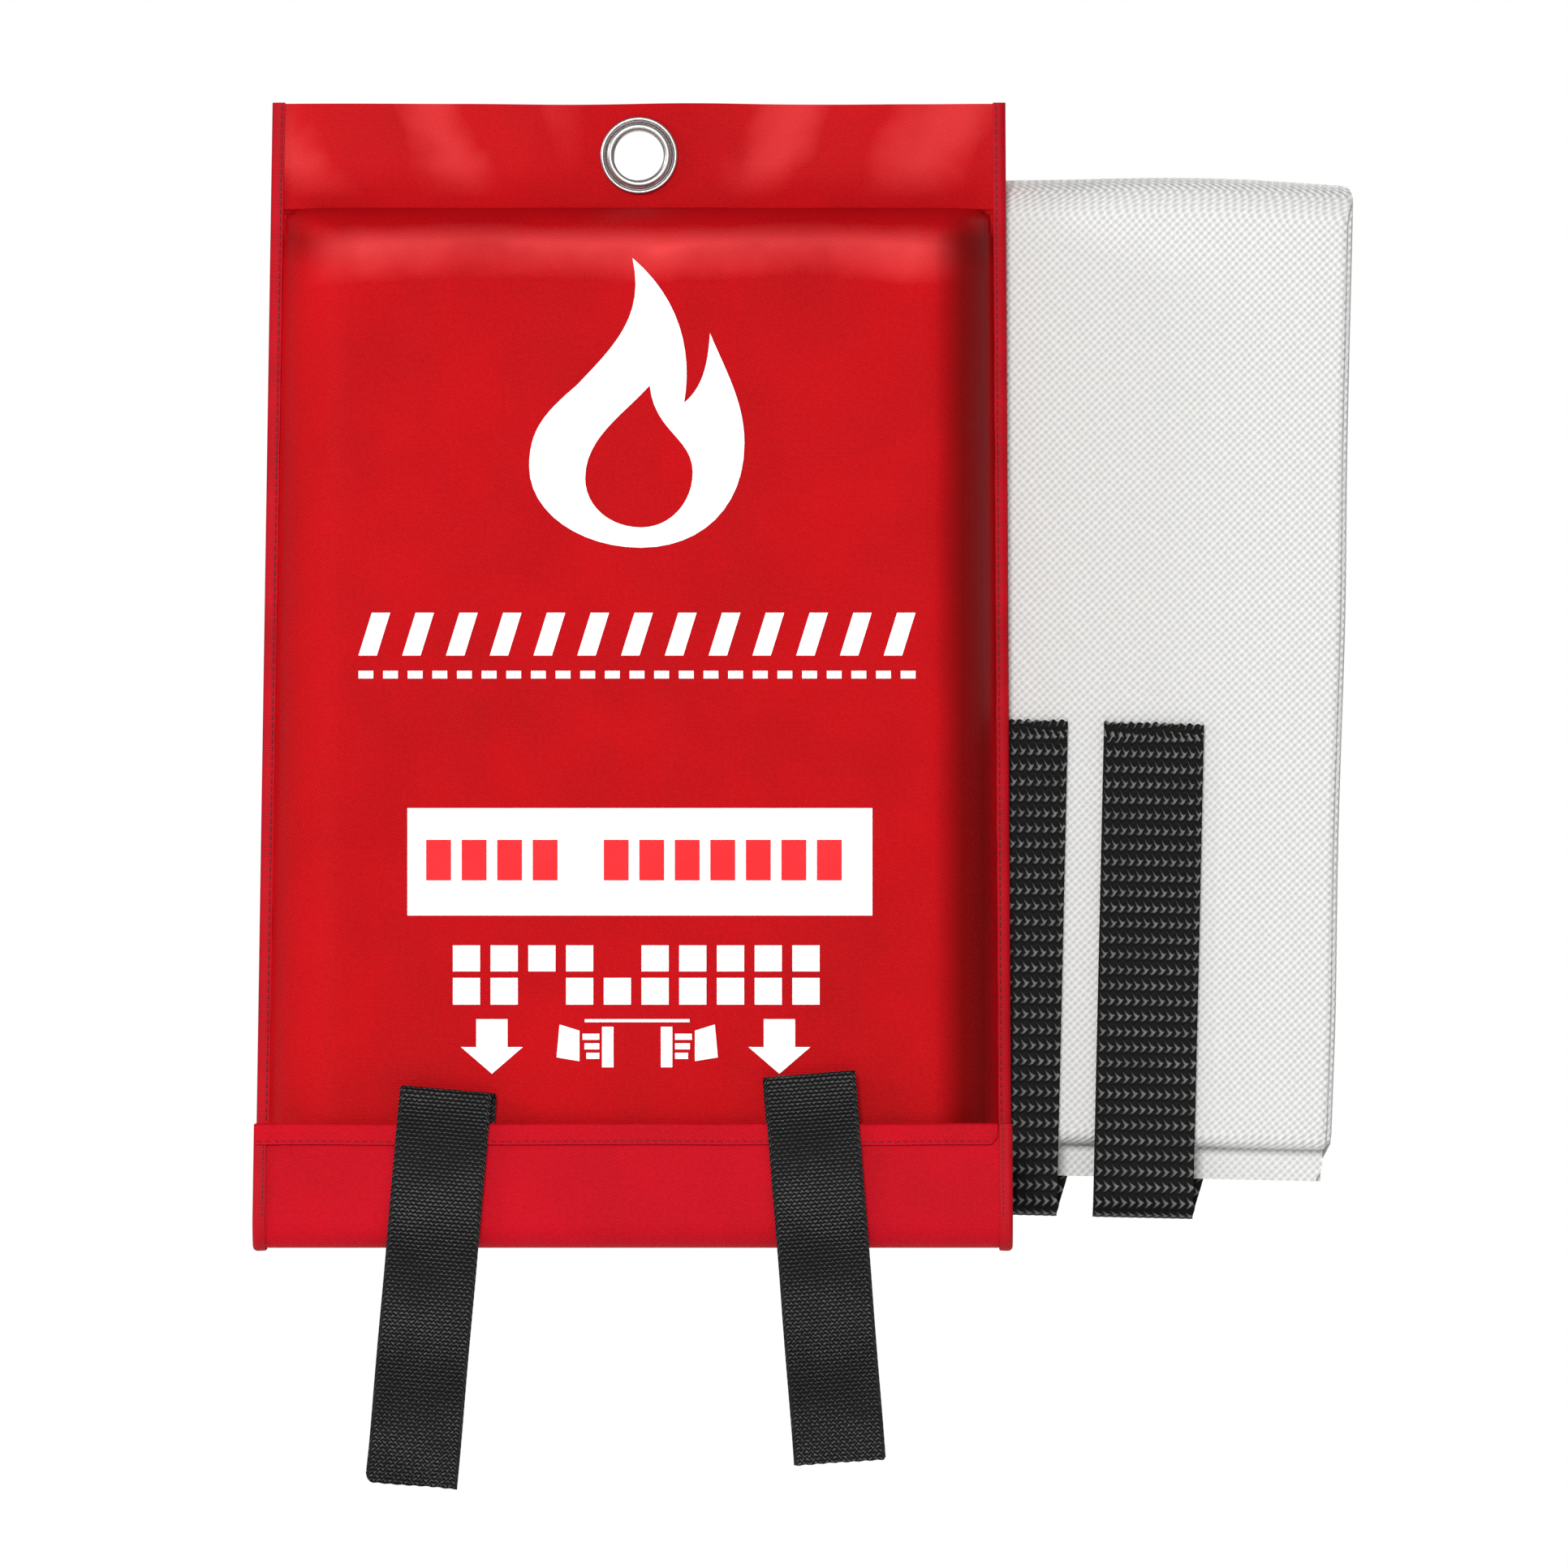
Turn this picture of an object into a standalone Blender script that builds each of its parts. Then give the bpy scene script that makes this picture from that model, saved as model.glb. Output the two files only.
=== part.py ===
"""A fire blanket packed in its soft hanging pouch, with a second folded blanket behind it.

Frame: metres, +Z up, the front of the pouch faces -Y. The origin is the centre of the hanging
eyelet, in the plane where the pouch's back panel meets its front panel.
Depth below means distance towards the front, so a point at depth d lies at y = -d.
"""

import math

import bmesh
import bpy
from mathutils import Vector

MM = 0.001

# ---------------------------------------------------------------- driving dimensions

GAP = 0.3 * MM  # between two pieces that touch

# pouch
POUCH_HEIGHT = 300.0 * MM
POUCH_TOP_WIDTH = 192.6 * MM
FLARE_LEFT = 4.7 * MM  # how much further out each side edge is at the bottom
FLARE_RIGHT = 1.7 * MM
FABRIC = 0.8 * MM  # coated fabric
BULGE_TOP_DROP = 27.6 * MM  # from the top edge down to where the front panel bulges
FRONT_EDGE_UP = 12.5 * MM  # the front panel stops this far above the pouch's bottom
FOLD_UP = 7.5 * MM  # the flap turns forward this far above the pouch's bottom

# edge bindings and hems
BINDING = 0.5 * MM
BINDING_WIDTH = 3.3 * MM
PANEL_INSET = 1.4 * MM  # from a binding's outside to the panel edge inside it
HEM = 0.6 * MM
HEM_WIDTH = 5.3 * MM
FLAP_HEIGHT = 32.5 * MM
FLAP_CORNER = 6.0 * MM  # how far each rounded corner of the flap's underside reaches

# hook-and-loop closure
CLOSURE_WIDTH = 36.0 * MM
CLOSURE_HEIGHT = 10.0 * MM
LOOP_STRIP = 1.0 * MM
HOOK_STRIP = 0.8 * MM
CLOSURE_DROP = 3.0 * MM  # below the flap's top edge

# eyelet
EYELET_DROP = 13.5 * MM  # its centre, below the pouch's top edge
EYELET_BORE_RADIUS = 6.5 * MM
EYELET_WALL = 0.6 * MM
EYELET_ROLL_RADIUS = 8.6 * MM
EYELET_FLANGE_RADIUS = 10.2 * MM
EYELET_FLANGE = 0.6 * MM
EYELET_ROLL_HEIGHT = 1.2 * MM
EYELET_EDGE = 0.3 * MM  # chamfer on the flange and on the washer
WASHER = 0.8 * MM

# folded blankets
BLANKET_BOTTOM_ROOM = 2.5 * MM  # packed blanket, above the front panel's lower edge
BLANKET_DEPTH = 21.0 * MM
BLANKET_SIDE_FLAT = 3.0 * MM  # flat middle of each side, between its rounded edges
BLANKET_INTO_SLOPE = 1 / 3  # share of the bulge's rise that is clear of the packed blanket
BLANKET_HEM_DROP = 8.5 * MM  # the hemmed edge hangs this far below the bundle
HEM_ROUNDING = 2.0 * MM
PACKED_HEM_INSET = 9.0 * MM  # the hemmed edge is this much narrower at each end
LOOSE_HEM_INSET = 2.5 * MM
BLANKET_FRONT_GAP = 0.6 * MM  # packed blanket to the front panel

# webbing tapes
TAPE = 1.0 * MM
TAPE_CLEARANCE = 0.4 * MM
PULL_TAPE_WIDTH = 24.0 * MM
LOOSE_TAPE_WIDTH = 26.3 * MM
TAPE_SEWN = 1.2 * MM  # straight length of tape on the hemmed edge, above its turn
TAPE_TURN_UP = 2.0 * MM  # its turn, above the hemmed edge's bottom

# pull tapes: x of the fold-over, its top above the flap's, lean from vertical, hanging length
PULL_TAPES = {
    "left": {"x": -50.4 * MM, "over": 9.2 * MM, "lean": math.radians(5.0), "hang": 101.6 * MM},
    "right": {"x": 44.9 * MM, "over": 13.2 * MM, "lean": math.radians(-4.5), "hang": 99.6 * MM},
}

# the loose blanket: its hidden left side, its top, its lean, and its tapes
LOOSE_LEFT_X = 16.4 * MM
LOOSE_TOP_Z = -7.5 * MM
LOOSE_LEAN = math.radians(1.3)
LOOSE_TAPE_FROM_RIGHT = {"left": 85.4 * MM, "right": 49.6 * MM}
LOOSE_LOOP_DROP = 10.6 * MM  # the tape loops hang this far below the hemmed edge
LOOSE_TAPE_RISE = 124.5 * MM  # from the loop up to the cut end
LOOSE_TAPE_SEWN = 6.0 * MM  # how far its sewn end reaches up the hemmed edge

# ---------------------------------------------------------------- derived places

TOP_Z = EYELET_DROP
BOTTOM_Z = TOP_Z - POUCH_HEIGHT
FOLD_Z = BOTTOM_Z + FOLD_UP
FRONT_EDGE_Z = BOTTOM_Z + FRONT_EDGE_UP
BULGE_TOP_Z = TOP_Z - BULGE_TOP_DROP
FLAP_TOP_Z = BOTTOM_Z + FLAP_HEIGHT

BACK_DEPTH = -FABRIC / 2  # middle of the back panel
FLAT_DEPTH = GAP + FABRIC / 2  # middle of the front panel where it lies flat
BLANKET_REAR_DEPTH = GAP
BLANKET_FRONT_DEPTH = BLANKET_REAR_DEPTH + BLANKET_DEPTH
BULGE_DEPTH = BLANKET_FRONT_DEPTH + BLANKET_FRONT_GAP + FABRIC / 2  # middle of the front panel
BULGE_FACE = BULGE_DEPTH + FABRIC / 2
FRONT_HEM_DEPTH = BULGE_FACE + GAP + HEM / 2
TAPE_UP_DEPTH = FRONT_HEM_DEPTH + HEM / 2 + TAPE_CLEARANCE + TAPE / 2
LOOP_STRIP_DEPTH = BULGE_FACE + GAP + LOOP_STRIP / 2
FLAP_DEPTH = TAPE_UP_DEPTH + TAPE / 2 + TAPE_CLEARANCE + FABRIC / 2  # middle of the front lap
HOOK_STRIP_DEPTH = FLAP_DEPTH - FABRIC / 2 - GAP - HOOK_STRIP / 2
FLAP_HEM_DEPTH = FLAP_DEPTH + FABRIC / 2 + GAP + HEM / 2
TAPE_HANG_DEPTH = FLAP_HEM_DEPTH + HEM / 2 + TAPE_CLEARANCE + TAPE / 2
TAPE_FOLD_DEPTH = (TAPE_UP_DEPTH + TAPE_HANG_DEPTH) / 2
TAPE_FOLD_RADIUS = (TAPE_HANG_DEPTH - TAPE_UP_DEPTH) / 2
TAPE_SEWN_DEPTH = BLANKET_FRONT_DEPTH + GAP + TAPE / 2

BLANKET_ROUNDING = (BLANKET_DEPTH - BLANKET_SIDE_FLAT) / 2
BULGE_INSET = BINDING_WIDTH + GAP + FABRIC  # where the front panel starts to rise
BULGE_SLOPE_SIDE = 2 * BLANKET_ROUNDING  # width of the bulge's rise along the sides
BULGE_SLOPE_TOP = BLANKET_DEPTH / 2  # and along its top
PACKED_TOP_Z = BULGE_TOP_Z - BLANKET_INTO_SLOPE * BULGE_SLOPE_TOP
BLANKET_WIDTH = POUCH_TOP_WIDTH - 2 * (BULGE_INSET + BLANKET_INTO_SLOPE * BULGE_SLOPE_SIDE)
BLANKET_HEIGHT = PACKED_TOP_Z - FRONT_EDGE_Z - BLANKET_BOTTOM_ROOM

LOOSE_BEHIND = FABRIC + GAP + WASHER + GAP + EYELET_ROLL_HEIGHT + GAP  # clear of the washer
LOOSE_CORNER_X = LOOSE_LEFT_X + BLANKET_WIDTH

ARC_STEPS = 6
ROUND_STEPS = 32
SLOPE_STEPS = 7
CUTTER_LENGTH = 20.0 * MM


# ---------------------------------------------------------------- scene and helpers

for old in list(bpy.data.objects):
    bpy.data.objects.remove(old)

pieces = bpy.data.collections.new("fire_blanket")
cutters = bpy.data.collections.new("cutters")
bpy.context.scene.collection.children.link(pieces)
bpy.context.scene.collection.children.link(cutters)


def material(name, color, roughness, metallic=0.0):
    """A Principled material of one colour."""
    made = bpy.data.materials.new(name)
    made.use_nodes = True
    shader = made.node_tree.nodes["Principled BSDF"]
    shader.inputs["Base Color"].default_value = (*color, 1.0)
    shader.inputs["Roughness"].default_value = roughness
    shader.inputs["Metallic"].default_value = metallic
    return made


RED_FABRIC = {"color": (0.58, 0.006, 0.012), "roughness": 0.5}
RED_BINDING = {"color": (0.55, 0.005, 0.015), "roughness": 0.6}
WHITE_GLASS = {"color": (0.82, 0.82, 0.80), "roughness": 0.8}
BLACK_WEBBING = {"color": (0.02, 0.02, 0.02), "roughness": 0.75}
CLOSURE_BLACK = {"color": (0.03, 0.03, 0.03), "roughness": 0.9}
SATIN_METAL = {"color": (0.68, 0.68, 0.68), "roughness": 0.3, "metallic": 1.0}


def at(x, depth, z):
    """The point x to the right, this depth towards the front, and this high."""
    return Vector((x, -depth, z))


def add_object(name, mesh, finish, parent=None):
    """Puts a mesh in the scene as a named piece with its own material."""
    piece = bpy.data.objects.new(name, mesh)
    piece.data.materials.append(material(name, **finish))
    pieces.objects.link(piece)
    piece.parent = parent
    return piece


def add_empty(name, location, turn=0.0, parent=None):
    """A joint's place: turn leans what hangs on it about the front-to-back axis."""
    empty = bpy.data.objects.new(name, None)
    empty.empty_display_size = 10 * MM
    pieces.objects.link(empty)
    empty.parent = parent
    empty.location = location
    empty.rotation_euler.y = turn
    return empty


def add_sheet(name, rows, thickness, finish, parent=None, origin=Vector()):
    """A sheet through rows of points, given its thickness about its middle surface."""
    mesh = bpy.data.meshes.new(name)
    width = len(rows[0])
    points = [point - origin for row in rows for point in row]
    faces = [
        (j * width + i, j * width + i + 1, (j + 1) * width + i + 1, (j + 1) * width + i)
        for j in range(len(rows) - 1)
        for i in range(width - 1)
    ]
    mesh.from_pydata(points, [], faces)
    mesh.shade_smooth()
    mesh.set_sharp_from_angle(angle=math.radians(35))
    piece = add_object(name, mesh, finish, parent)
    piece.location = origin if parent is None else Vector()
    solid = piece.modifiers.new("thickness", "SOLIDIFY")
    solid.thickness = thickness
    solid.offset = 0.0
    solid.use_even_offset = True
    return piece


def add_box(name, low, high, finish, parent=None, origin=Vector(), rounding=0.0):
    """A box between two corners, with its edges rounded by a Bevel modifier."""
    shape = bmesh.new()
    bmesh.ops.create_cube(shape, size=1.0)
    size = Vector(abs(b - a) for a, b in zip(low, high))
    bmesh.ops.scale(shape, vec=size, verts=shape.verts)
    bmesh.ops.translate(shape, vec=(low + high) / 2 - origin, verts=shape.verts)
    mesh = bpy.data.meshes.new(name)
    shape.to_mesh(mesh)
    shape.free()
    piece = add_object(name, mesh, finish, parent)
    if parent is None:
        piece.location = origin
    if rounding:
        bevel = piece.modifiers.new("rounding", "BEVEL")
        bevel.width = rounding
        bevel.segments = 4
    return piece


def arc(centre, radius, start, end, steps=ARC_STEPS):
    """Points (depth, z) on an arc, by angle in degrees from +depth towards +z."""
    angles = [math.radians(start + (end - start) * i / steps) for i in range(steps + 1)]
    return [
        (centre[0] + radius * math.cos(a), centre[1] + radius * math.sin(a)) for a in angles
    ]


def add_ribbon(name, path, width, thickness, finish, parent=None):
    """A band of the given width along X that follows a path of (depth, z) points."""
    rows = [[at(-width / 2, depth, z), at(width / 2, depth, z)] for depth, z in path]
    return add_sheet(name, rows, thickness, finish, parent)


def edge_x(side, z):
    """The pouch's outer edge at this height, side -1 on the left and +1 on the right."""
    flare = FLARE_LEFT if side < 0 else FLARE_RIGHT
    return side * (POUCH_TOP_WIDTH / 2 + flare * (TOP_Z - z) / POUCH_HEIGHT)


def panel_x(side, z):
    """Where a panel's side edge ends, inside its binding."""
    return edge_x(side, z) - side * PANEL_INSET


def punch_eyelet_hole(piece):
    """Cuts the hole that the eyelet's barrel passes through."""
    hole = piece.modifiers.new("eyelet_hole", "BOOLEAN")
    hole.operation = "DIFFERENCE"
    hole.solver = "EXACT"
    hole.object = eyelet_cutter


# ---------------------------------------------------------------- pouch panels


def make_eyelet_cutter():
    """A plug a little wider than the eyelet's barrel, through both panels."""
    shape = bmesh.new()
    radius = EYELET_BORE_RADIUS + EYELET_WALL + GAP
    bmesh.ops.create_cone(
        shape,
        cap_ends=True,
        segments=ROUND_STEPS,
        radius1=radius,
        radius2=radius,
        depth=CUTTER_LENGTH,
    )
    mesh = bpy.data.meshes.new("eyelet_cutter")
    shape.to_mesh(mesh)
    shape.free()
    cutter = bpy.data.objects.new("eyelet_cutter", mesh)
    cutters.objects.link(cutter)
    cutter.rotation_euler.x = math.pi / 2
    cutter.hide_render = True
    cutter.display_type = "WIRE"
    return cutter


eyelet_cutter = make_eyelet_cutter()


def make_back_panel():
    """A flat panel from the top edge down to the bottom fold."""
    rows = [
        [at(panel_x(side, z), BACK_DEPTH, z) for side in (-1, 1)]
        for z in (TOP_Z, BULGE_TOP_Z, FOLD_Z + GAP / 2)
    ]
    punch_eyelet_hole(add_sheet("back_panel", rows, FABRIC, RED_FABRIC))


def bulge_line(side, z):
    """Where the front panel leaves the side binding and starts to rise."""
    return edge_x(side, z) - side * BULGE_INSET


def front_depth(x, z):
    """Middle of the front panel: flat in the header, and round over the packed blanket."""
    side = 1 if x > 0 else -1
    inward = side * (bulge_line(side, z) - x)
    across = 1 - min(max(inward / BULGE_SLOPE_SIDE, 0.0), 1.0)
    down = 1 - min(max((BULGE_TOP_Z - z) / BULGE_SLOPE_TOP, 0.0), 1.0)
    outer = min((across**6 + down**6) ** (1 / 6), 1.0)
    return FLAT_DEPTH + (BULGE_DEPTH - FLAT_DEPTH) * (1 - outer**2.2) ** (1 / 2.1)


def rising_steps(length):
    """Distances into a slope, closer together where it is steep."""
    turns = [math.pi / 2 * i / SLOPE_STEPS for i in range(1, SLOPE_STEPS + 1)]
    return [length * (1 - math.cos(turn)) for turn in turns]


def front_columns(z):
    """x of each column of the front panel at this height, left to right."""

    def half(side):
        start = bulge_line(side, z)
        rise = [start - side * step for step in rising_steps(BULGE_SLOPE_SIDE)]
        return [panel_x(side, z), start, *rise]

    left, right = half(-1), half(1)
    middle = [left[-1] + (right[-1] - left[-1]) * share for share in (0.25, 0.5, 0.75)]
    return left + middle + right[::-1]


def make_front_panel():
    """A flat header above a bulge that opens downwards."""
    rise = [BULGE_TOP_Z - step for step in rising_steps(BULGE_SLOPE_TOP)]
    span = rise[-1] - FRONT_EDGE_Z
    lower = [rise[-1] - span * share for share in (0.33, 0.67, 1.0)]
    heights = [TOP_Z, BULGE_TOP_Z, *rise, *lower]
    rows = [[at(x, front_depth(x, z), z) for x in front_columns(z)] for z in heights]
    punch_eyelet_hole(add_sheet("front_panel", rows, FABRIC, RED_FABRIC))


def make_front_hem():
    """The hem on the outside of the front panel's lower edge, following its bulge."""
    offset = FRONT_HEM_DEPTH - BULGE_DEPTH
    rows = []
    for z in (FRONT_EDGE_Z, FRONT_EDGE_Z + HEM_WIDTH):
        columns = front_columns(z)[2:-2]
        step = 0.05 * MM
        row = []
        for x in columns:
            slope = (front_depth(x + step, z) - front_depth(x - step, z)) / (2 * step)
            length = math.hypot(slope, 1.0)
            row.append(at(x - offset * slope / length, front_depth(x, z) + offset / length, z))
        rows.append(row)
    add_sheet("front_hem", rows, HEM, RED_BINDING)


def make_loop_strip():
    """The loop half of the closure, on the front panel between the tapes."""
    high = FLAP_TOP_Z - CLOSURE_DROP
    low = at(-CLOSURE_WIDTH / 2, LOOP_STRIP_DEPTH - LOOP_STRIP / 2, high - CLOSURE_HEIGHT)
    top = at(CLOSURE_WIDTH / 2, LOOP_STRIP_DEPTH + LOOP_STRIP / 2, high)
    add_box("loop_strip", low, top, CLOSURE_BLACK)


# ---------------------------------------------------------------- edge bindings


def binding_rows(side, stations, half_gap):
    """A U of binding at each station, a point (depth, z) and its front-facing normal."""
    reach = half_gap + BINDING / 2
    rows = []
    for (depth, z), (normal_depth, normal_z) in stations:
        outer = edge_x(side, max(z, FOLD_Z)) - side * BINDING / 2
        inner = edge_x(side, max(z, FOLD_Z)) - side * BINDING_WIDTH
        turn = [math.radians(90 - 180 * i / ARC_STEPS) for i in range(ARC_STEPS + 1)]
        section = [(inner, reach)]
        section += [
            (outer - side * reach * (1 - math.cos(a)), reach * math.sin(a)) for a in turn
        ]
        section.append((inner, -reach))
        rows.append([at(x, depth + normal_depth * n, z + normal_z * n) for x, n in section])
    return rows


def upright_stations(depth, heights):
    return [((depth, z), (1.0, 0.0)) for z in heights]


def make_side_bindings():
    """The tape folded round both panels' edges, from the top down to the bottom fold."""
    rear, front = BACK_DEPTH - FABRIC / 2, FLAT_DEPTH + FABRIC / 2
    half_gap = (front - rear) / 2 + GAP
    stations = upright_stations((front + rear) / 2, (TOP_Z, FOLD_Z + GAP / 2))
    for name, side in (("left_binding", -1), ("right_binding", 1)):
        add_sheet(name, binding_rows(side, stations, half_gap), BINDING, RED_BINDING)


# ---------------------------------------------------------------- bottom flap


def flap_base_path():
    """(depth, z) from the bottom fold, under the blanket, to the front lap's lower fold."""
    low = BOTTOM_Z + FABRIC / 2
    start = FOLD_Z - GAP / 2
    drop = start - low

    def quarter(centre, begin, end):
        angles = [math.radians(begin + (end - begin) * i / 5) for i in range(6)]
        return [
            (centre + FLAP_CORNER * math.cos(a), start + drop * math.sin(a)) for a in angles
        ]

    rear = quarter(BACK_DEPTH + FLAP_CORNER, 180, 270)
    return rear + quarter(FLAP_DEPTH - FLAP_CORNER, 270, 360)


def path_stations(path):
    """Each point of a path with the normal that faces away from the packed blanket."""
    stations = []
    for i, point in enumerate(path):
        before, after = path[max(i - 1, 0)], path[min(i + 1, len(path) - 1)]
        run, rise = after[0] - before[0], after[1] - before[1]
        if i in (0, len(path) - 1):
            run = 0.0
        length = math.hypot(run, rise)
        stations.append((point, (rise / length, -run / length)))
    return stations


def make_flap():
    """Two stiff lengths of fabric with their bindings, each about its own fold."""
    fold = add_empty("flap_fold", at(0, BACK_DEPTH, FOLD_Z))
    lower = add_empty("flap_lower_fold", at(0, FLAP_DEPTH - BACK_DEPTH, 0), parent=fold)
    fold_at = at(0, BACK_DEPTH, FOLD_Z)
    lower_at = at(0, FLAP_DEPTH, FOLD_Z)

    path = flap_base_path()
    rows = [[at(panel_x(side, FOLD_Z), depth, z) for side in (-1, 1)] for depth, z in path]
    add_sheet("flap_base_panel", rows, FABRIC, RED_FABRIC, fold, fold_at)

    heights = (FOLD_Z + GAP / 2, FLAP_TOP_Z)
    rows = [[at(panel_x(side, z), FLAP_DEPTH, z) for side in (-1, 1)] for z in heights]
    add_sheet("flap_front_panel", rows, FABRIC, RED_FABRIC, lower, lower_at)

    half_gap = FABRIC / 2 + GAP
    for name, side in (("left", -1), ("right", 1)):
        rows = binding_rows(side, path_stations(path), half_gap)
        add_sheet(f"flap_base_{name}_binding", rows, BINDING, RED_BINDING, fold, fold_at)
        rows = binding_rows(side, upright_stations(FLAP_DEPTH, heights), half_gap)
        add_sheet(f"flap_{name}_binding", rows, BINDING, RED_BINDING, lower, lower_at)

    inset = BINDING_WIDTH + 2 * GAP
    rows = [
        [at(edge_x(side, z) - side * inset, FLAP_HEM_DEPTH, z) for side in (-1, 1)]
        for z in (FLAP_TOP_Z - HEM_WIDTH, FLAP_TOP_Z)
    ]
    add_sheet("flap_hem", rows, HEM, RED_BINDING, lower, lower_at)

    high = FLAP_TOP_Z - CLOSURE_DROP
    low = at(-CLOSURE_WIDTH / 2, HOOK_STRIP_DEPTH - HOOK_STRIP / 2, high - CLOSURE_HEIGHT)
    top = at(CLOSURE_WIDTH / 2, HOOK_STRIP_DEPTH + HOOK_STRIP / 2, high)
    add_box("hook_strip", low, top, CLOSURE_BLACK, lower, lower_at)


# ---------------------------------------------------------------- eyelet


def add_turned(name, profile, finish):
    """A ring turned about the eyelet's axis from a closed profile of (radius, depth)."""
    mesh = bpy.data.meshes.new(name)
    points = [(radius, -depth, 0.0) for radius, depth in profile]
    count = len(points)
    mesh.from_pydata(points, [(i, (i + 1) % count) for i in range(count)], [])
    ring = add_object(name, mesh, finish)
    turn = ring.modifiers.new("turn", "SCREW")
    turn.axis = "Y"
    turn.steps = ROUND_STEPS
    turn.render_steps = ROUND_STEPS
    turn.use_merge_vertices = True
    turn.merge_threshold = 0.00001
    turn.use_smooth_shade = True
    return ring


def make_eyelet():
    """The flanged barrel in front and the washer that its end is rolled over behind."""
    face = FLAT_DEPTH + FABRIC / 2 + GAP
    flange_top = face + EYELET_FLANGE
    washer_front = BACK_DEPTH - FABRIC / 2 - GAP
    washer_back = washer_front - WASHER
    bore, barrel = EYELET_BORE_RADIUS, EYELET_BORE_RADIUS + EYELET_WALL
    roll_middle = (bore + EYELET_ROLL_RADIUS) / 2
    roll_half = (EYELET_ROLL_RADIUS - bore) / 2

    def roll(level, height, start, end):
        angles = [math.radians(start + (end - start) * i / 8) for i in range(9)]
        return [
            (roll_middle + roll_half * math.cos(a), level + height * math.sin(a))
            for a in angles
        ]

    profile = roll(flange_top, EYELET_ROLL_HEIGHT, 180, 0)
    profile += [
        (EYELET_FLANGE_RADIUS - EYELET_EDGE, flange_top),
        (EYELET_FLANGE_RADIUS, flange_top - EYELET_EDGE),
        (EYELET_FLANGE_RADIUS, face),
        (barrel, face),
        (barrel, washer_back - GAP),
    ]
    profile += roll(washer_back - GAP, EYELET_ROLL_HEIGHT, 360, 180)
    add_turned("eyelet", profile[::-1], SATIN_METAL)

    inner = barrel + GAP
    washer = [
        (inner, washer_front),
        (EYELET_FLANGE_RADIUS, washer_front),
        (EYELET_FLANGE_RADIUS, washer_back + EYELET_EDGE),
        (EYELET_FLANGE_RADIUS - EYELET_EDGE, washer_back),
        (inner, washer_back),
    ]
    add_turned("eyelet_washer", washer[::-1], SATIN_METAL)


# ---------------------------------------------------------------- folded blankets


def make_bundle(name, parent, top_z, hem_in_front, front_depth_at, x_left, hem_inset):
    """A folded blanket: the bundle, and its hemmed edge below one half of its thickness."""
    rear = front_depth_at - BLANKET_DEPTH
    low = at(x_left, rear, top_z - BLANKET_HEIGHT)
    high = at(x_left + BLANKET_WIDTH, front_depth_at, top_z)
    add_box(name, low, high, WHITE_GLASS, parent, rounding=BLANKET_ROUNDING)

    half = BLANKET_DEPTH / 2
    hem_rear = rear + half if hem_in_front else rear + GAP
    hem_bottom = top_z - BLANKET_HEIGHT - BLANKET_HEM_DROP
    hem_top = hem_bottom + BLANKET_HEM_DROP - GAP
    low = at(x_left + hem_inset, hem_rear, hem_bottom)
    high = at(x_left + BLANKET_WIDTH - hem_inset, hem_rear + half - GAP, hem_top)
    add_box(f"{name}_hem", low, high, WHITE_GLASS, parent, rounding=HEM_ROUNDING)


def make_packed_blanket():
    """The blanket inside the pouch, with its hemmed edge and tapes at the front."""
    slide = add_empty("packed_blanket_slide", Vector())
    left = -BLANKET_WIDTH / 2
    front = BLANKET_FRONT_DEPTH
    make_bundle("packed_blanket", slide, PACKED_TOP_Z, True, front, left, PACKED_HEM_INSET)
    sewn_bottom = PACKED_TOP_Z - BLANKET_HEIGHT - BLANKET_HEM_DROP + TAPE_TURN_UP
    for name, tape in PULL_TAPES.items():
        fold_z = FLAP_TOP_Z + tape["over"] - TAPE_FOLD_RADIUS - TAPE / 2
        where = at(tape["x"], TAPE_FOLD_DEPTH, fold_z)
        hinge = add_empty(f"{name}_tape_fold", where, tape["lean"], parent=slide)

        turn_radius = (TAPE_UP_DEPTH - TAPE_SEWN_DEPTH) / 2
        turn_depth = (TAPE_UP_DEPTH + TAPE_SEWN_DEPTH) / 2 - TAPE_FOLD_DEPTH
        turn_z = sewn_bottom - fold_z
        path = [(turn_depth - turn_radius, turn_z + TAPE_SEWN)]
        path += arc((turn_depth, turn_z), turn_radius, 180, 360)
        path += arc((0.0, 0.0), TAPE_FOLD_RADIUS, 180, 0)
        path[-1] = (TAPE_FOLD_RADIUS, GAP / 2)
        add_ribbon(f"{name}_tape_root", path, PULL_TAPE_WIDTH, TAPE, BLACK_WEBBING, hinge)

        leg = [(TAPE_FOLD_RADIUS, -GAP / 2), (TAPE_FOLD_RADIUS, -tape["hang"])]
        add_ribbon(f"{name}_tape", leg, PULL_TAPE_WIDTH, TAPE, BLACK_WEBBING, hinge)


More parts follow.
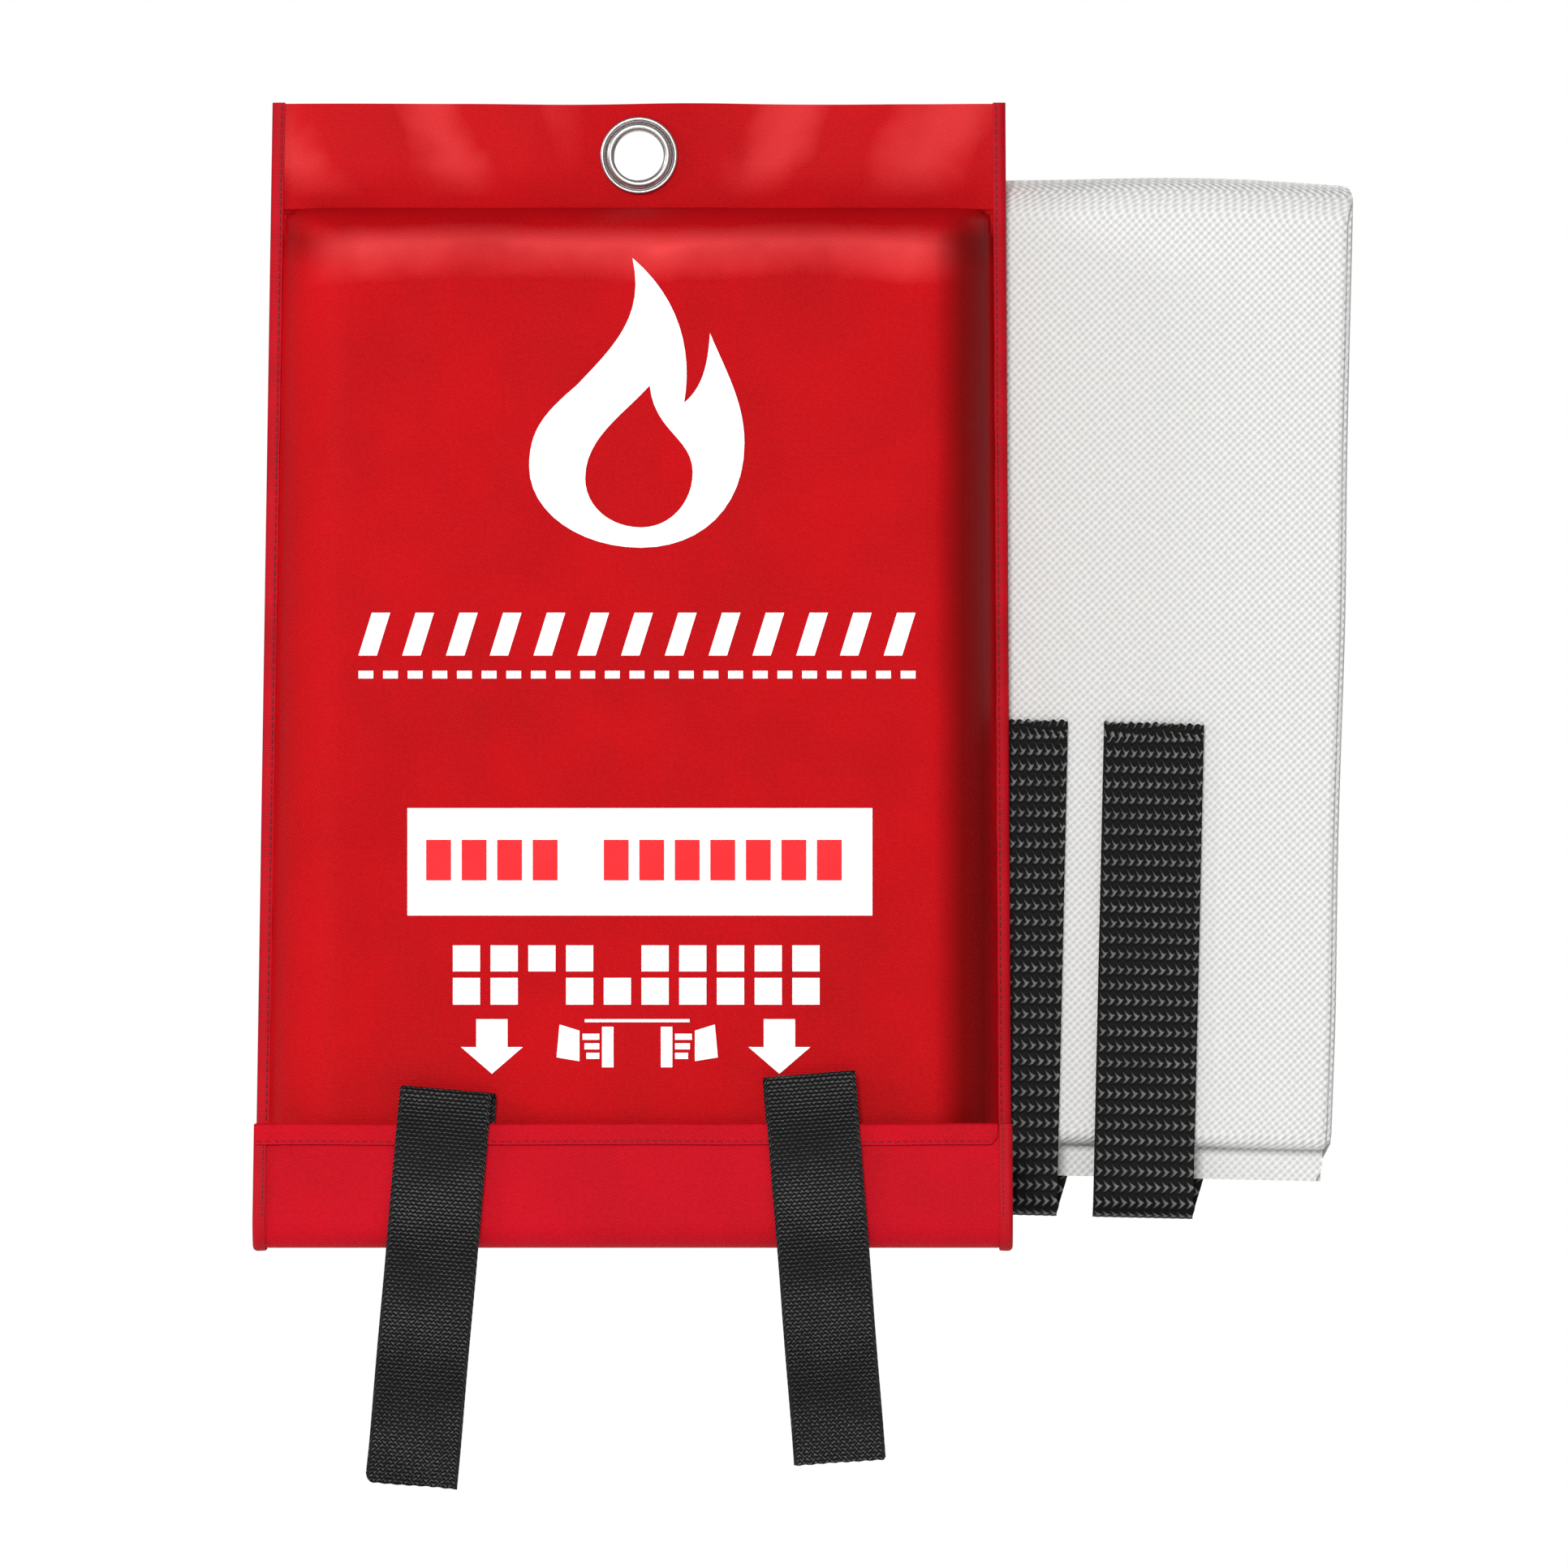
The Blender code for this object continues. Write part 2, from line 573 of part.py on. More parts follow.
def make_loose_blanket():
    """The second blanket, leaning a little, with its tapes looped up its front."""
    where = at(LOOSE_CORNER_X, 0, LOOSE_TOP_Z)
    corner = add_empty("loose_blanket_corner", where, LOOSE_LEAN)
    left = -BLANKET_WIDTH
    make_bundle("loose_blanket", corner, 0.0, False, -LOOSE_BEHIND, left, LOOSE_HEM_INSET)

    leg_depth = -LOOSE_BEHIND + TAPE_CLEARANCE + TAPE / 2
    sewn_depth = -LOOSE_BEHIND - BLANKET_DEPTH / 2 + GAP + TAPE / 2
    radius = (leg_depth - sewn_depth) / 2
    hem_bottom = -BLANKET_HEIGHT - BLANKET_HEM_DROP
    loop_z = hem_bottom - LOOSE_LOOP_DROP + radius + TAPE / 2
    for name, from_right in LOOSE_TAPE_FROM_RIGHT.items():
        where = at(-from_right, (leg_depth + sewn_depth) / 2, loop_z)
        hinge = add_empty(f"loose_{name}_tape_loop", where, parent=corner)
        path = [(-radius, hem_bottom + LOOSE_TAPE_SEWN - loop_z)]
        path += arc((0.0, 0.0), radius, 180, 360, 10)
        path[-1] = (radius, -GAP / 2)
        root = f"loose_{name}_tape_root"
        add_ribbon(root, path, LOOSE_TAPE_WIDTH, TAPE, BLACK_WEBBING, hinge)

        leg = [(radius, GAP / 2), (radius, LOOSE_TAPE_RISE)]
        add_ribbon(f"loose_{name}_tape", leg, LOOSE_TAPE_WIDTH, TAPE, BLACK_WEBBING, hinge)


make_back_panel()
make_front_panel()
make_front_hem()
make_side_bindings()
make_loop_strip()
make_eyelet()
make_flap()
make_packed_blanket()
make_loose_blanket()
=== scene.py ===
"""A fire blanket in its red hanging pouch, and a second folded blanket behind it."""

import math
import random

import bmesh
import bpy
import numpy as np
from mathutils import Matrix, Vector, noise


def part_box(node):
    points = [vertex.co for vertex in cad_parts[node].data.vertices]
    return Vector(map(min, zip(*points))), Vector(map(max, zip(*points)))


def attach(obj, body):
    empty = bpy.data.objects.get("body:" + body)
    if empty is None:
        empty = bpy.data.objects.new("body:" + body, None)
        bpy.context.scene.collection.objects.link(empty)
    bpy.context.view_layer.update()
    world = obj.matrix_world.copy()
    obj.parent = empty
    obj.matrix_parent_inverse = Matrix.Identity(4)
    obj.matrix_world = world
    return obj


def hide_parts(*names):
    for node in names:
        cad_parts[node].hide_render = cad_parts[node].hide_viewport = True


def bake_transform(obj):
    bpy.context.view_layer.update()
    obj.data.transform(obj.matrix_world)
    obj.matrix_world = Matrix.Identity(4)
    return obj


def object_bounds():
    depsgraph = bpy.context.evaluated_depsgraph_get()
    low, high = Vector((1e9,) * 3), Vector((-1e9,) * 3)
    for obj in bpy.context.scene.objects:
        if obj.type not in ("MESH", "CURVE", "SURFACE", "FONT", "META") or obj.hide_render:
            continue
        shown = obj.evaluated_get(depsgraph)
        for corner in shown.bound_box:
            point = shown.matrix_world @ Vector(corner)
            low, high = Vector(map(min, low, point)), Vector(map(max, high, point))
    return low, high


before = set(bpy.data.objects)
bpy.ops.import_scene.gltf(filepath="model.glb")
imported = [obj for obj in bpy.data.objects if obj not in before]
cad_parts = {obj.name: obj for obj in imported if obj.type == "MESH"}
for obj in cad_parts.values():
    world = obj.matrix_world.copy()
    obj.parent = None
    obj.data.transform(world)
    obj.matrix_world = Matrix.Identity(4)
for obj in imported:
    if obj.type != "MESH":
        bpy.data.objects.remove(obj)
cad_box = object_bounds()

MM = 0.001

# ---------------------------------------------------------------- studio
# A wide pale floor well below the pouch, which hangs in front of a plain white surround, and
# soft boxes: a key from the left, a strong one nearly in front, a weak one below, one behind.

VIEW_CENTRE = (38.1 * MM, -22.0 * MM, -165.1 * MM)
VIEW_WIDTH = 410.2 * MM
VIEW_DISTANCE = 5.0
SENSOR = 36.0
FLOOR_BELOW = 0.62
FLOOR_RADIUS = 5.0
WHITE = (1.0, 1.0, 1.0, 1.0)

camera = bpy.data.objects.new("camera", bpy.data.cameras.new("camera"))
bpy.context.scene.collection.objects.link(camera)
camera.location = (VIEW_CENTRE[0], VIEW_CENTRE[1] - VIEW_DISTANCE, VIEW_CENTRE[2])
camera.rotation_euler = (math.pi / 2, 0.0, 0.0)
camera.data.sensor_width = SENSOR
camera.data.lens = SENSOR * VIEW_DISTANCE / VIEW_WIDTH
camera.data.clip_start = 0.1
camera.data.clip_end = 100.0
bpy.context.scene.camera = camera
bpy.context.scene.view_settings.view_transform = "Standard"


def soft_box(name, place, size, power, target=VIEW_CENTRE):
    """A square area light at place, aimed at target."""
    lamp = bpy.data.lights.new(name, "AREA")
    lamp.shape = "SQUARE"
    lamp.size = size
    lamp.energy = power
    light = bpy.data.objects.new(name, lamp)
    bpy.context.scene.collection.objects.link(light)
    light.location = place
    aim = Vector(target) - light.location
    light.rotation_euler = aim.to_track_quat("-Z", "Y").to_euler()
    return light


soft_box("key", (-2.6, -0.9, 0.6), 0.7, 26.0)
soft_box("front", (-0.3, -3.15, 0.8), 1.0, 86.0)
soft_box("bounce", (0.6, -2.0, -2.2), 1.6, 16.0)
soft_box("rear", (0.9, 2.4, 1.0), 1.4, 60.0)


def node(tree, kind, inputs=None, **settings):
    """Adds a shader node. inputs gives each socket a value or another node's output."""
    added = tree.nodes.new(kind)
    for name, value in settings.items():
        setattr(added, name, value)
    for socket, value in (inputs or {}).items():
        if isinstance(value, bpy.types.NodeSocket):
            tree.links.new(value, added.inputs[socket])
        else:
            added.inputs[socket].default_value = value
    return added


world = bpy.data.worlds.new("surround")
bpy.context.scene.world = world
world.use_nodes = True
sky = world.node_tree
ambient = node(sky, "ShaderNodeBackground", {"Color": WHITE, "Strength": 0.26})
seen = node(sky, "ShaderNodeBackground", {"Color": WHITE, "Strength": 1.0})
path = node(sky, "ShaderNodeLightPath")
either = node(sky, "ShaderNodeMixShader", {"Fac": path.outputs["Is Camera Ray"]})
sky.links.new(ambient.outputs[0], either.inputs[1])
sky.links.new(seen.outputs[0], either.inputs[2])
sky.links.new(either.outputs[0], sky.nodes["World Output"].inputs["Surface"])

for loaded in bpy.context.selected_objects:
    loaded.select_set(False)
bpy.ops.mesh.primitive_circle_add(
    vertices=96, radius=FLOOR_RADIUS, fill_type="NGON", location=(0, 0, cad_box[0].z - FLOOR_BELOW)
)
floor = bpy.context.active_object
floor.name = "floor"
floor_paint = bpy.data.materials.new("floor_paint")
floor_paint.use_nodes = True
floor_shader = floor_paint.node_tree.nodes["Principled BSDF"]
floor_shader.inputs["Base Color"].default_value = (0.86, 0.86, 0.86, 1.0)
floor_shader.inputs["Roughness"].default_value = 0.9
floor.data.materials.append(floor_paint)

# ---------------------------------------------------------------- front panel
# The pouch's face: one piece of coated twill, flat in the header, which swells over the packed
# blanket below a soft crease. Cut from the roll, sewn into the side bindings, open at the bottom.

GAP = 0.3 * MM
FABRIC = 0.8 * MM
TOP_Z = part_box("front_panel")[1].z
FRONT_EDGE_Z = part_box("front_panel")[0].z
BOTTOM_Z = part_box("flap_base_panel")[0].z
FOLD_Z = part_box("back_panel")[0].z - GAP / 2
BULGE_TOP_Z = TOP_Z - 27.6 * MM
SLOPE_SIDE = 18.0 * MM
SLOPE_TOP = 10.5 * MM
FLAT_DEPTH = GAP + FABRIC / 2
BULGE_DEPTH = -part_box("front_panel")[0].y - FABRIC / 2
PANEL_INSET = 1.4 * MM
BULGE_INSET = 4.4 * MM
EYELET_HOLE = 7.4 * MM
TOP_HALF_WIDTH = 96.3 * MM
FLARE = {-1: 4.7 * MM, 1: 1.7 * MM}
RED = (0.595, 0.0032, 0.0075)
# RED_DEEP also serves as painted shade in the crease above the bulge; RED_SHADED is painted shade
# down the right slope.
RED_DEEP = (0.330, 0.0010, 0.0025)
RED_SHADED = (0.150, 0.0002, 0.0003)
# Pale red painted highlight for the crest of the bulge and the bands across the header.
RED_PAINTED_HIGHLIGHT = (0.780, 0.0560, 0.0600)
RIDGE_PITCH = 35.0 * MM
BULGE_EDGE_X = 77.5 * MM
SEAM_EDGE_X = 93.5 * MM
TWILL_ACROSS = 0.74 * MM
TWILL_UP = 1.05 * MM


def edge_x(side, z):
    """The pouch's outer edge at this height, side -1 on the left and +1 on the right."""
    return side * (TOP_HALF_WIDTH + FLARE[side] * (TOP_Z - z) / (TOP_Z - BOTTOM_Z))


def swell(x, z, size, seed):
    """Smooth, seeded unevenness between -1 and 1, with lumps of about this size."""
    return noise.noise(Vector((x / size + seed, seed * 0.37, z / size - seed)))


def ramp(value, low, high):
    """0 below low, 1 above high, and smooth in between."""
    share = min(max((value - low) / (high - low), 0.0), 1.0)
    return share * share * (3 - 2 * share)


def front_depth(x, z):
    """Middle of the front panel: header, crease and swelling, with the cloth's unevenness."""
    side = 1 if x > 0 else -1
    inward = side * (edge_x(side, z) - side * BULGE_INSET - x)
    across = 1 - min(max(inward / SLOPE_SIDE, 0.0), 1.0)
    down = 1 - min(max((BULGE_TOP_Z - z) / SLOPE_TOP, 0.0), 1.0)
    outer = min((across**6 + down**6) ** (1 / 6), 1.0)
    risen = (1 - outer**2.2) ** (1 / 2.1)
    depth = FLAT_DEPTH + (BULGE_DEPTH - FLAT_DEPTH) * risen
    settled = ramp(z, FRONT_EDGE_Z + 12 * MM, FRONT_EDGE_Z + 60 * MM)
    lumps = 0.5 + 0.35 * swell(x, z, 34 * MM, 3.1) + 0.4 * swell(x, z, 15 * MM, 8.4)
    depth += risen**4 * settled * (0.9 * MM * lumps)
    header = ramp(z, BULGE_TOP_Z + 1 * MM, BULGE_TOP_Z + 9 * MM) * ramp(inward, 0.0, 6 * MM)
    lean = x * 0.86 - side * z * 0.5
    ridges = math.sin(lean * math.tau / RIDGE_PITCH + 1.7 * swell(x, z, 30 * MM, 5.0))
    away = ramp(math.hypot(x, z), 14 * MM, 34 * MM)
    return depth + header * away * (0.7 * MM * (1 + ridges) / 2)


def grid_sheet(name, points, thickness, paint, flat=None):
    """A sheet of cloth about a grid of points, with its own measures in metres as UV."""
    points = np.asarray(points, float)
    rows, columns = points.shape[:2]
    along = np.zeros((rows, columns))
    across = np.zeros((rows, columns))
    along[1:] = np.cumsum(np.linalg.norm(np.diff(points, axis=0), axis=2), axis=0)
    across[:, 1:] = np.cumsum(np.linalg.norm(np.diff(points, axis=1), axis=2), axis=1)
    across -= across[:, -1:] / 2
    uv = np.stack([across, along], axis=2) if flat is None else np.asarray(flat, float)
    index = np.arange(rows * columns).reshape(rows, columns)
    faces = np.stack([index[:-1, :-1], index[:-1, 1:], index[1:, 1:], index[1:, :-1]], axis=2)
    faces = faces.reshape(-1, 4)
    mesh = bpy.data.meshes.new(name)
    mesh.from_pydata(points.reshape(-1, 3).tolist(), [], faces.tolist())
    layer = mesh.uv_layers.new(name="cloth")
    layer.data.foreach_set("uv", uv.reshape(-1, 2)[faces.ravel()].astype(np.float32).ravel())
    sheet = bpy.data.objects.new(name, mesh)
    bpy.context.scene.collection.objects.link(sheet)
    mesh.materials.append(paint)
    if thickness:
        thicken(sheet, thickness)
    return sheet


def thicken(sheet, thickness):
    """Gives a cloth mesh its thickness, half to each side."""
    solid = sheet.modifiers.new("thickness", "SOLIDIFY")
    solid.thickness = thickness
    solid.offset = 0.0
    apply(sheet, solid)


def select_only(piece):
    for other in bpy.context.selected_objects:
        other.select_set(False)
    piece.select_set(True)
    bpy.context.view_layer.objects.active = piece


def apply(piece, modifier):
    select_only(piece)
    bpy.ops.object.modifier_apply(modifier=modifier.name)


def smooth(piece, angle=40.0):
    """Shades the piece smooth, apart from edges sharper than this angle in degrees."""
    select_only(piece)
    bpy.ops.object.shade_smooth_by_angle(angle=math.radians(angle))
    return piece


def cut_eyelet_hole(panel):
    """Opens a round hole in a panel that has no thickness yet, about the origin."""
    shape = bmesh.new()
    shape.from_mesh(panel.data)
    near = [f for f in shape.faces if math.hypot(*f.calc_center_median().xz) < EYELET_HOLE]
    bmesh.ops.delete(shape, geom=near, context="FACES")
    for vertex in shape.verts:
        out = math.hypot(vertex.co.x, vertex.co.z)
        if vertex.is_boundary and out < 1.4 * EYELET_HOLE:
            vertex.co.x *= EYELET_HOLE / out
            vertex.co.z *= EYELET_HOLE / out
    shape.to_mesh(panel.data)
    shape.free()


class Paint:
    """A material being made: its node tree, its shader, and sums on sockets."""

    def __init__(self, name):
        self.material = bpy.data.materials.new(name)
        self.material.use_nodes = True
        self.tree = self.material.node_tree
        self.shader = self.tree.nodes["Principled BSDF"]

    def add(self, kind, inputs=None, **settings):
        return node(self.tree, kind, inputs, **settings)

    def sum(self, operation, *values):
        """One Math node's result."""
        inputs = dict(enumerate(values))
        return self.add("ShaderNodeMath", inputs, operation=operation).outputs[0]

    def places(self, socket="UV"):
        """x, y and z of a Texture Coordinate output."""
        source = self.add("ShaderNodeTexCoord").outputs[socket]
        return source, self.add("ShaderNodeSeparateXYZ", {0: source}).outputs

    def speckle(self, source, scale, detail=2.0, roughness=0.5):
        """Noise from 0 to 1."""
        inputs = {"Vector": source, "Scale": scale, "Detail": detail, "Roughness": roughness}
        return self.add("ShaderNodeTexNoise", inputs).outputs["Fac"]

    def wave(self, value, pitch, phase=0.0):
        """A sine of the value, once for each pitch."""
        turned = self.sum("MULTIPLY_ADD", value, 2 * math.pi / pitch, phase)
        return self.sum("SINE", turned)

    def blend(self, share, low, high):
        """A colour between low and high by share."""
        mix = self.add("ShaderNodeMix", {"Factor": share}, data_type="RGBA")
        for socket, value in ((6, low), (7, high)):
            if isinstance(value, bpy.types.NodeSocket):
                self.tree.links.new(value, mix.inputs[socket])
            else:
                mix.inputs[socket].default_value = (*value, 1.0)
        return mix.outputs[2]

    def spread(self, value, low, high, start=0.0, end=1.0):
        """The value from low to high, stretched to start to end and held there."""
        inputs = {0: value, 1: low, 2: high, 3: start, 4: end}
        return self.add("ShaderNodeMapRange", inputs).outputs[0]

    def relief(self, height, distance, strength=1.0):
        """Raises the surface by height times distance."""
        inputs = {"Height": height, "Distance": distance, "Strength": strength}
        bump = self.add("ShaderNodeBump", inputs)
        self.link(bump.outputs[0], "Normal")

    def link(self, output, socket):
        self.tree.links.new(output, self.shader.inputs[socket])

    def set(self, **values):
        for socket, value in values.items():
            self.shader.inputs[socket.replace("_", " ")].default_value = value


def coated_twill(name, color, deep, across=TWILL_ACROSS, up=TWILL_UP, with_painted_light=False):
    """Coated cloth: fine diagonal twill lines broken into yarn, cloudy colour, soft gloss."""
    paint = Paint(name)
    source, (u, v, _) = paint.places()
    clouds = paint.speckle(source, 26.0, 3.0, 0.55)
    grain = paint.speckle(source, 900.0, 3.0, 0.65)
    slack = paint.sum("MULTIPLY_ADD", grain, 0.35 * MM, u)
    leaning = paint.sum("MULTIPLY_ADD", v, -across / up, slack)
    ridge = paint.wave(leaning, across)
    yarn = paint.wave(v, up / 2)
    cloth = paint.sum("MULTIPLY_ADD", yarn, 0.45, ridge)
    shown = paint.spread(cloth, -1.45, 1.45)
    woven_tone = paint.sum("MULTIPLY_ADD", grain, 0.5, paint.sum("MULTIPLY", shown, 0.5))
    tone = paint.sum("ADD", paint.sum("MULTIPLY", clouds, 0.50), paint.sum("MULTIPLY", woven_tone, 0.85))
    shade = paint.blend(paint.spread(tone, 0.38, 0.98), deep, color)
    # The front panel gets painted shade and painted highlights where the light falls on its bulge.
    if with_painted_light:
        shade = painted_light_marks(paint, shade, deep, grain, clouds)
    paint.link(shade, "Base Color")
    paint.link(paint.spread(clouds, 0.3, 0.7, 0.50, 0.62), "Roughness")
    paint.relief(cloth, 0.045 * MM, 0.9)
    paint.set(Specular_IOR_Level=0.07)
    return paint.material


def painted_light_marks(paint, shade, deep, grain, clouds):
    """Painted shade in the crease above the bulge and down its right slope, painted highlights on
    crest and header.
    """
    _, (x, _, z) = paint.places("Object")
    # Painted shade: a dark band with a ragged edge along the crease above the bulge.
    loose = paint.sum("MULTIPLY_ADD", clouds, 9.0 * MM, z)
    rough = paint.sum("MULTIPLY_ADD", grain, 7.0 * MM, loose)
    middle = paint.spread(paint.sum("ABSOLUTE", x), 0.072, 0.088, 1.0, 0.0)
    below = paint.spread(rough, BULGE_TOP_Z + 4 * MM, BULGE_TOP_Z - 1 * MM)
    above = paint.spread(rough, BULGE_TOP_Z - 7 * MM, BULGE_TOP_Z - 2 * MM)
    shade = paint.blend(paint.sum("MULTIPLY", below, above), shade, deep)
    # Painted highlight along the crest of the bulge.
    crest_below = paint.spread(loose, BULGE_TOP_Z + 0 * MM, BULGE_TOP_Z - 5 * MM)
    crest_above = paint.spread(loose, BULGE_TOP_Z - 15 * MM, BULGE_TOP_Z - 6 * MM)
    crest = paint.sum("MULTIPLY", paint.sum("MULTIPLY", crest_below, crest_above), middle)
    crest_highlight = paint.sum("MULTIPLY", crest, paint.spread(clouds, 0.3, 0.75, 0.35, 1.0))
    shade = paint.blend(crest_highlight, shade, RED_PAINTED_HIGHLIGHT)
    # Painted highlight in diagonal bands across the header, over its ridges, and a lighter header
    # overall.
    lean = paint.sum("MULTIPLY", paint.sum("SIGN", x), paint.sum("MULTIPLY", z, -0.5))
    lean = paint.sum("MULTIPLY_ADD", clouds, 30.0 * MM, paint.sum("MULTIPLY_ADD", x, 0.86, lean))
    bands = paint.spread(paint.wave(lean, RIDGE_PITCH), -0.3, 1.0, 0.12, 1.0)
    header = paint.spread(z, BULGE_TOP_Z + 3 * MM, BULGE_TOP_Z + 12 * MM, 0.0, 0.5)
    outside = paint.spread(paint.sum("ABSOLUTE", x), 0.014, 0.030)
    bands = paint.sum("MULTIPLY", bands, paint.sum("MULTIPLY", header, outside))
    shade = paint.blend(bands, shade, RED_PAINTED_HIGHLIGHT)
    # Painted shade down the right slope of the bulge, which faces away from the key light.
    started = paint.spread(x, BULGE_EDGE_X, BULGE_EDGE_X + 7.5 * MM)
    ended = paint.spread(x, SEAM_EDGE_X, SEAM_EDGE_X - 3.0 * MM)
    lower = paint.spread(z, BULGE_TOP_Z, BULGE_TOP_Z - 8 * MM, 0.0, 0.8)
    slope = paint.sum("MULTIPLY", paint.sum("MULTIPLY", started, ended), lower)
    return paint.blend(slope, shade, RED_SHADED)


def steps(start, end, pitch):
    """Evenly spaced values from start to end, about this far apart."""
    count = max(2, round(abs(end - start) / pitch) + 1)
    return np.linspace(start, end, count)


def across_pouch(z, inset, count_pitch=2.0 * MM):
    """x of each column between the side edges at this height, closer near the slopes."""
    left, right = edge_x(-1, z) + inset, edge_x(1, z) - inset
    count = round(2 * TOP_HALF_WIDTH / count_pitch)
    even = np.linspace(-1.0, 1.0, count)
    eased = np.sign(even) * (1 - (1 - np.abs(even)) ** 1.25)
    return (left + right) / 2 + eased * (right - left) / 2


RED_CLOTH = coated_twill("red_coated_twill", RED, RED_DEEP, with_painted_light=True)

rise = [BULGE_TOP_Z - SLOPE_TOP * (1 - math.cos(math.pi / 2 * i / 14)) for i in range(1, 15)]
front_rows = [
    *steps(TOP_Z, BULGE_TOP_Z, 1.3 * MM),
    *rise,
    *steps(rise[-1], FRONT_EDGE_Z, 2.2 * MM)[1:],
]


def top_wave(x, z):
    """How far the header's top edge dips, fading out below it."""
    return 0.5 * MM * swell(x, 0.0, 40 * MM, 2.2) * ramp(z, BULGE_TOP_Z, TOP_Z)


def header_point(x, depth, z):
    return (x, -depth, z + top_wave(x, z))


front = grid_sheet(
    "front_panel_cloth",
    [
        [header_point(x, front_depth(x, z), z) for x in across_pouch(z, PANEL_INSET)]
        for z in front_rows
    ],
    0,
    RED_CLOTH,
)
cut_eyelet_hole(front)
thicken(front, FABRIC)
smooth(front)
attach(front, "pouch")
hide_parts("front_panel")

# ---------------------------------------------------------------- back panel
# The pouch's back: the same coated twill, one flat piece from the top edge down to the bottom
# fold, where it runs on as the flap. It is sewn into the side bindings with the front panel.

BACK_DEPTH = -FABRIC / 2


def back_depth(x, z):
    """Middle of the back panel, which swells a little to the rear away from its edges."""
    inward = min(x - edge_x(-1, z), edge_x(1, z) - x)
    free = ramp(inward, 4 * MM, 16 * MM) * ramp(math.hypot(x, z), 12 * MM, 30 * MM)
    free *= ramp(z, FOLD_Z + 2 * MM, FOLD_Z + 24 * MM)
    return BACK_DEPTH - 0.25 * MM * free * (1 + swell(x, z, 45 * MM, 6.2))


PLAIN_RED = coated_twill("plain_red_twill", RED, RED_DEEP)
back_rows = [*steps(TOP_Z, BULGE_TOP_Z, 1.3 * MM), *steps(BULGE_TOP_Z, FOLD_Z, 3.0 * MM)[1:]]
back = grid_sheet(
    "back_panel_cloth",
    [
        [header_point(x, back_depth(x, z), z) for x in across_pouch(z, PANEL_INSET)]
        for z in back_rows
    ],
    0,
    PLAIN_RED,
)
cut_eyelet_hole(back)
thicken(back, FABRIC)
smooth(back)
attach(back, "pouch")
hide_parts("back_panel")

# ---------------------------------------------------------------- front panel's hem
# A strip of binding tape sewn along the outside of the front panel's lower edge, where the
# blanket comes out. The flap covers it.

HEM = 0.6 * MM
HEM_WIDTH = 5.3 * MM
HEM_OUT = FABRIC / 2 + GAP + HEM / 2
BINDING_RED = (0.530, 0.0040, 0.0140)
BINDING_DEEP = (0.300, 0.0020, 0.0060)
# The thread is dark enough to also stand for the thin shadow along the bindings' inner edges:
# partly its own colour, partly painted shade.
THREAD_RED = (0.100, 0.0030, 0.0060)


def stitches(name, places, paint, length=1.5 * MM, radius=0.17 * MM):
    """Thread stitches, each a short bead of thread at a (point, along, out) place."""
    shape = bmesh.new()
    for point, along, out in places:
        point, along, out = Vector(point), Vector(along).normalized(), Vector(out).normalized()
        side = along.cross(out)
        rings = []
        for share, size in ((-0.5, 0.4), (-0.32, 1.0), (0.32, 1.0), (0.5, 0.4)):
            ring = []
            for k in range(6):
                turn = k * math.pi / 3
                off = (side * math.cos(turn) + out * math.sin(turn)) * radius * size
                ring.append(shape.verts.new(point + along * share * length + off))
            rings.append(ring)
        for low, high in zip(rings, rings[1:]):
            for k in range(6):
                shape.faces.new((low[k], low[k - 1], high[k - 1], high[k]))
        shape.faces.new(rings[0])
        shape.faces.new(rings[-1][::-1])
    bmesh.ops.recalc_face_normals(shape, faces=shape.faces)
    mesh = bpy.data.meshes.new(name)
    shape.to_mesh(mesh)
    shape.free()
    row = bpy.data.objects.new(name, mesh)
    bpy.context.scene.collection.objects.link(row)
    mesh.materials.append(paint)
    return smooth(row, 70)


def thread(name, color):
    """Sewing thread: one colour, darker where the strands turn under."""
    paint = Paint(name)
    source, _ = paint.places("Object")
    strands = paint.speckle(source, 2400.0, 1.0)
    low = tuple(0.4 * part for part in color)
    paint.link(paint.blend(paint.spread(strands, 0.3, 0.7), low, color), "Base Color")
    paint.set(Roughness=0.6)
    return paint.material


def woven_binding(name, color, deep):
    """Binding tape: fine ribs across a matt weave."""
    paint = Paint(name)
    source, (u, v, _) = paint.places()
    grain = paint.speckle(source, 1300.0, 2.0, 0.6)
    ribs = paint.wave(paint.sum("MULTIPLY_ADD", grain, 0.2 * MM, v), 0.62 * MM)
    picks = paint.wave(u, 0.55 * MM)
    weave = paint.sum("MULTIPLY_ADD", picks, 0.5, ribs)
    cloudy = paint.speckle(source, 60.0, 2.0)
    woven = paint.spread(weave, -1.5, 1.5, 0.0, 0.45)
    tone = paint.sum("ADD", woven, paint.sum("MULTIPLY", cloudy, 0.6))
    paint.link(paint.blend(paint.spread(tone, 0.2, 0.8), deep, color), "Base Color")
    paint.relief(weave, 0.03 * MM, 0.8)
    paint.set(Roughness=0.6, Specular_IOR_Level=0.1)
    return paint.material


BINDING_CLOTH = woven_binding("red_binding", BINDING_RED, BINDING_DEEP)
# Its darkness partly paints the shadow line along the bindings' sewn edges.
DARK_THREAD = thread("dark_red_thread", THREAD_RED)


def outside_of_front(x, z, away):
    """The point this far in front of the front panel's middle, square to its surface."""
    step = 0.05 * MM
    slope = (front_depth(x + step, z) - front_depth(x - step, z)) / (2 * step)
    length = math.hypot(slope, 1.0)
    return (x - away * slope / length, -(front_depth(x, z) + away / length), z)


